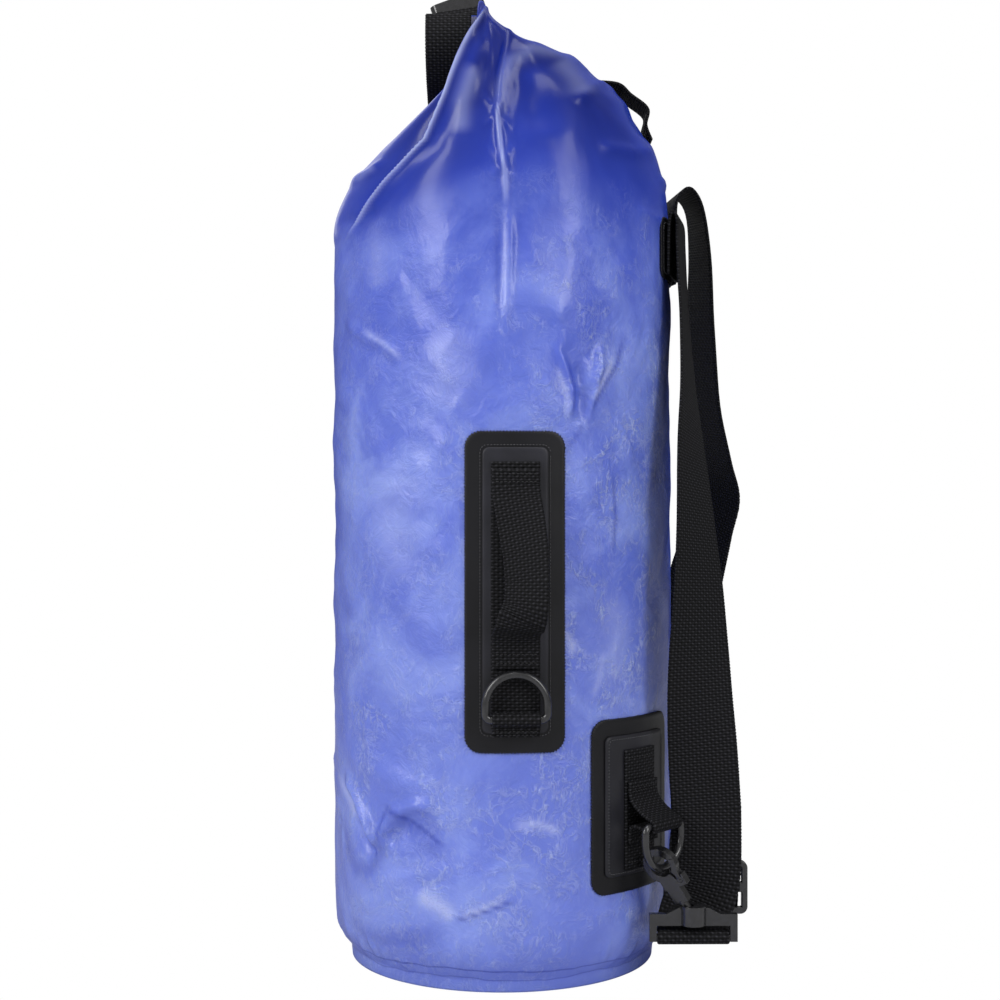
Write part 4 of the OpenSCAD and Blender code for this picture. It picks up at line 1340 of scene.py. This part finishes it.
def strap_return(name, sign):
    """The returning end of a strap, from the web bar up round the adjuster's centre bar."""
    x, y, wrap = RETURN_X - 0.2, STRAP_LOW_Y, 3.1
    rise = catmull([
        (x, 108.6, 30.2), (RETURN_X - 0.6, 110.0, 34.5), (x - 2.6, y - 0.4, 38.5),
        (x - 3.25, y, 42.5), (x - wrap, y, 46.0)], 6)
    around = [(x + wrap * cosd(a), y, 49.5 + wrap * sind(a)) for a in range(170, -61, -15)]
    centre = np.concatenate([rise, around])
    across = np.tile([0, -1.0, 0], (len(centre), 1))
    centre[:, 0] *= sign
    obj = web_strip("strap_return_webbing_" + name, centre, across, ["strap_end_" + name],
                    width=37, thickness=1.5, wobble=0.1, seed=60 + sign)
    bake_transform(obj)


for side_name, side_sign in SIDES:
    shoulder_strap(side_name, side_sign)
for side_name, side_sign in SIDES:
    strap_return(side_name, side_sign)


# ---------------------------------------------------------------- moulded hardware
def moulded(node, body, edge):
    """The CAD shape in black plastic with edges softened by so many millimetres."""
    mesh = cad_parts[node].data.copy()
    mesh.name = node + "_moulded"
    mesh.materials.clear()
    mesh.materials.append(PLASTIC)
    obj = bpy.data.objects.new(mesh.name, mesh)
    bpy.context.scene.collection.objects.link(obj)
    bm = bmesh.new()
    bm.from_mesh(mesh)
    # merge the CAD facets into clean faces so that the bevel finds only true edges
    bmesh.ops.remove_doubles(bm, verts=bm.verts, dist=2e-6)
    bmesh.ops.dissolve_limit(bm, angle_limit=math.radians(1.0), verts=bm.verts, edges=bm.edges)
    for face in bm.faces:
        face.smooth = True
        face.material_index = 0
    bm.to_mesh(mesh)
    bm.free()
    bevel = obj.modifiers.new("edge", "BEVEL")
    bevel.width = edge * MM
    bevel.segments = 3
    bevel.limit_method = "ANGLE"
    bevel.angle_limit = math.radians(35)
    obj.modifiers.new("wn", "WEIGHTED_NORMAL")
    fit(obj, [node], body)


moulded("buckle_socket", "bag", edge=0.8)
moulded("buckle_plug", "plug", edge=0.8)
for side_name, _ in SIDES:
    moulded("snap_frame_" + side_name, "clip_" + side_name, edge=0.6)
    moulded("snap_hook_" + side_name, "hook_" + side_name, edge=0.6)
    moulded("snap_gate_" + side_name, "gate_" + side_name, edge=0.35)
    moulded("strap_adjuster_" + side_name, "adjuster_" + side_name, edge=0.9)


# ---------------------------------------------------------------- stage, light, camera (metres)
def floor_material():
    """Plain white to the camera, and a soft bounce of light on to the bag."""
    material, shader, surface = new_material("floor_white")
    shader.fill(surface, {"Base Color": (0.62, 0.62, 0.63, 1), "Roughness": 0.8})
    camera_ray = shader.node("ShaderNodeLightPath").outputs["Is Camera Ray"]
    glow = shader.node("ShaderNodeEmission", {"Color": (1, 1, 1, 1)})
    blend = shader.node("ShaderNodeMixShader", {
        0: camera_ray, 1: surface.outputs[0], 2: glow.outputs[0]})
    shader.put(material.node_tree.nodes["Material Output"].inputs[0], blend.outputs[0])
    return material


def floor():
    half = 6.0
    material = floor_material()
    mesh = bpy.data.meshes.new("floor")
    mesh.from_pydata([(-half, -half, 0), (half, -half, 0), (half, half, 0), (-half, half, 0)],
                     [], [(0, 1, 2, 3)])
    mesh.materials.append(material)
    obj = bpy.data.objects.new("floor", mesh)
    obj.location = (0, 0, -0.0004)
    bpy.context.scene.collection.objects.link(obj)


def studio_world():
    """White to the camera; lights the scene more from +X, from above and from -Y."""
    world = bpy.data.worlds.new("studio")
    bpy.context.scene.world = world
    world.use_nodes = True
    shader = Shader(world.node_tree)
    camera_ray = shader.node("ShaderNodeLightPath").outputs["Is Camera Ray"]
    direction = shader.node("ShaderNodeTexCoord").outputs["Generated"]
    x, y, z = shader.node("ShaderNodeSeparateXYZ", {"Vector": direction}).outputs
    light = shader.math("MULTIPLY_ADD", x, 0.22, 0.34)
    light = shader.add(light, shader.mul(z, 0.16))
    light = shader.sub(light, shader.mul(y, 0.12))
    light = shader.math("MAXIMUM", light, 0.08)
    light = shader.math("MAXIMUM", light, camera_ray)
    background = world.node_tree.nodes["Background"]
    shader.fill(background, {"Color": (1, 1, 1, 1), "Strength": light})


def area_light(name, place, target, size, power, height=None):
    light = bpy.data.lights.new(name, "AREA")
    light.energy = power
    light.size = size
    if height:
        light.shape = "RECTANGLE"
        light.size_y = height
    obj = bpy.data.objects.new(name, light)
    obj.location = place
    obj.rotation_mode = "QUATERNION"
    obj.rotation_quaternion = (Vector(target) - Vector(place)).to_track_quat("-Z", "Y")
    bpy.context.scene.collection.objects.link(obj)


def camera():
    data = bpy.data.cameras.new("cam")
    data.sensor_width = 36
    data.lens = 57.6
    data.clip_start, data.clip_end = 0.01, 50
    obj = bpy.data.objects.new("cam", data)
    obj.location = (0.931, -0.0012, 0.260)
    obj.rotation_mode = "QUATERNION"
    obj.rotation_quaternion = Vector((-1, 0, 0)).to_track_quat("-Z", "Y")
    bpy.context.scene.collection.objects.link(obj)
    bpy.context.scene.camera = obj


floor()
studio_world()
area_light("key_front", (0.95, -1.1, 0.95), (0, 0, 0.28), size=0.42, power=12, height=1.1)
area_light("fill_back", (0.95, 1.0, 0.85), (0, 0, 0.28), size=0.4, power=7, height=0.9)
area_light("top", (0.3, 0.1, 1.7), (0, 0, 0.3), size=0.8, power=6)
area_light("rim_far", (-1.1, -0.3, 0.9), (0, 0, 0.3), size=0.6, power=1.2)
camera()
view = bpy.context.scene.view_settings
view.view_transform = "Standard"
view.look = "None"
view.exposure = 0.0
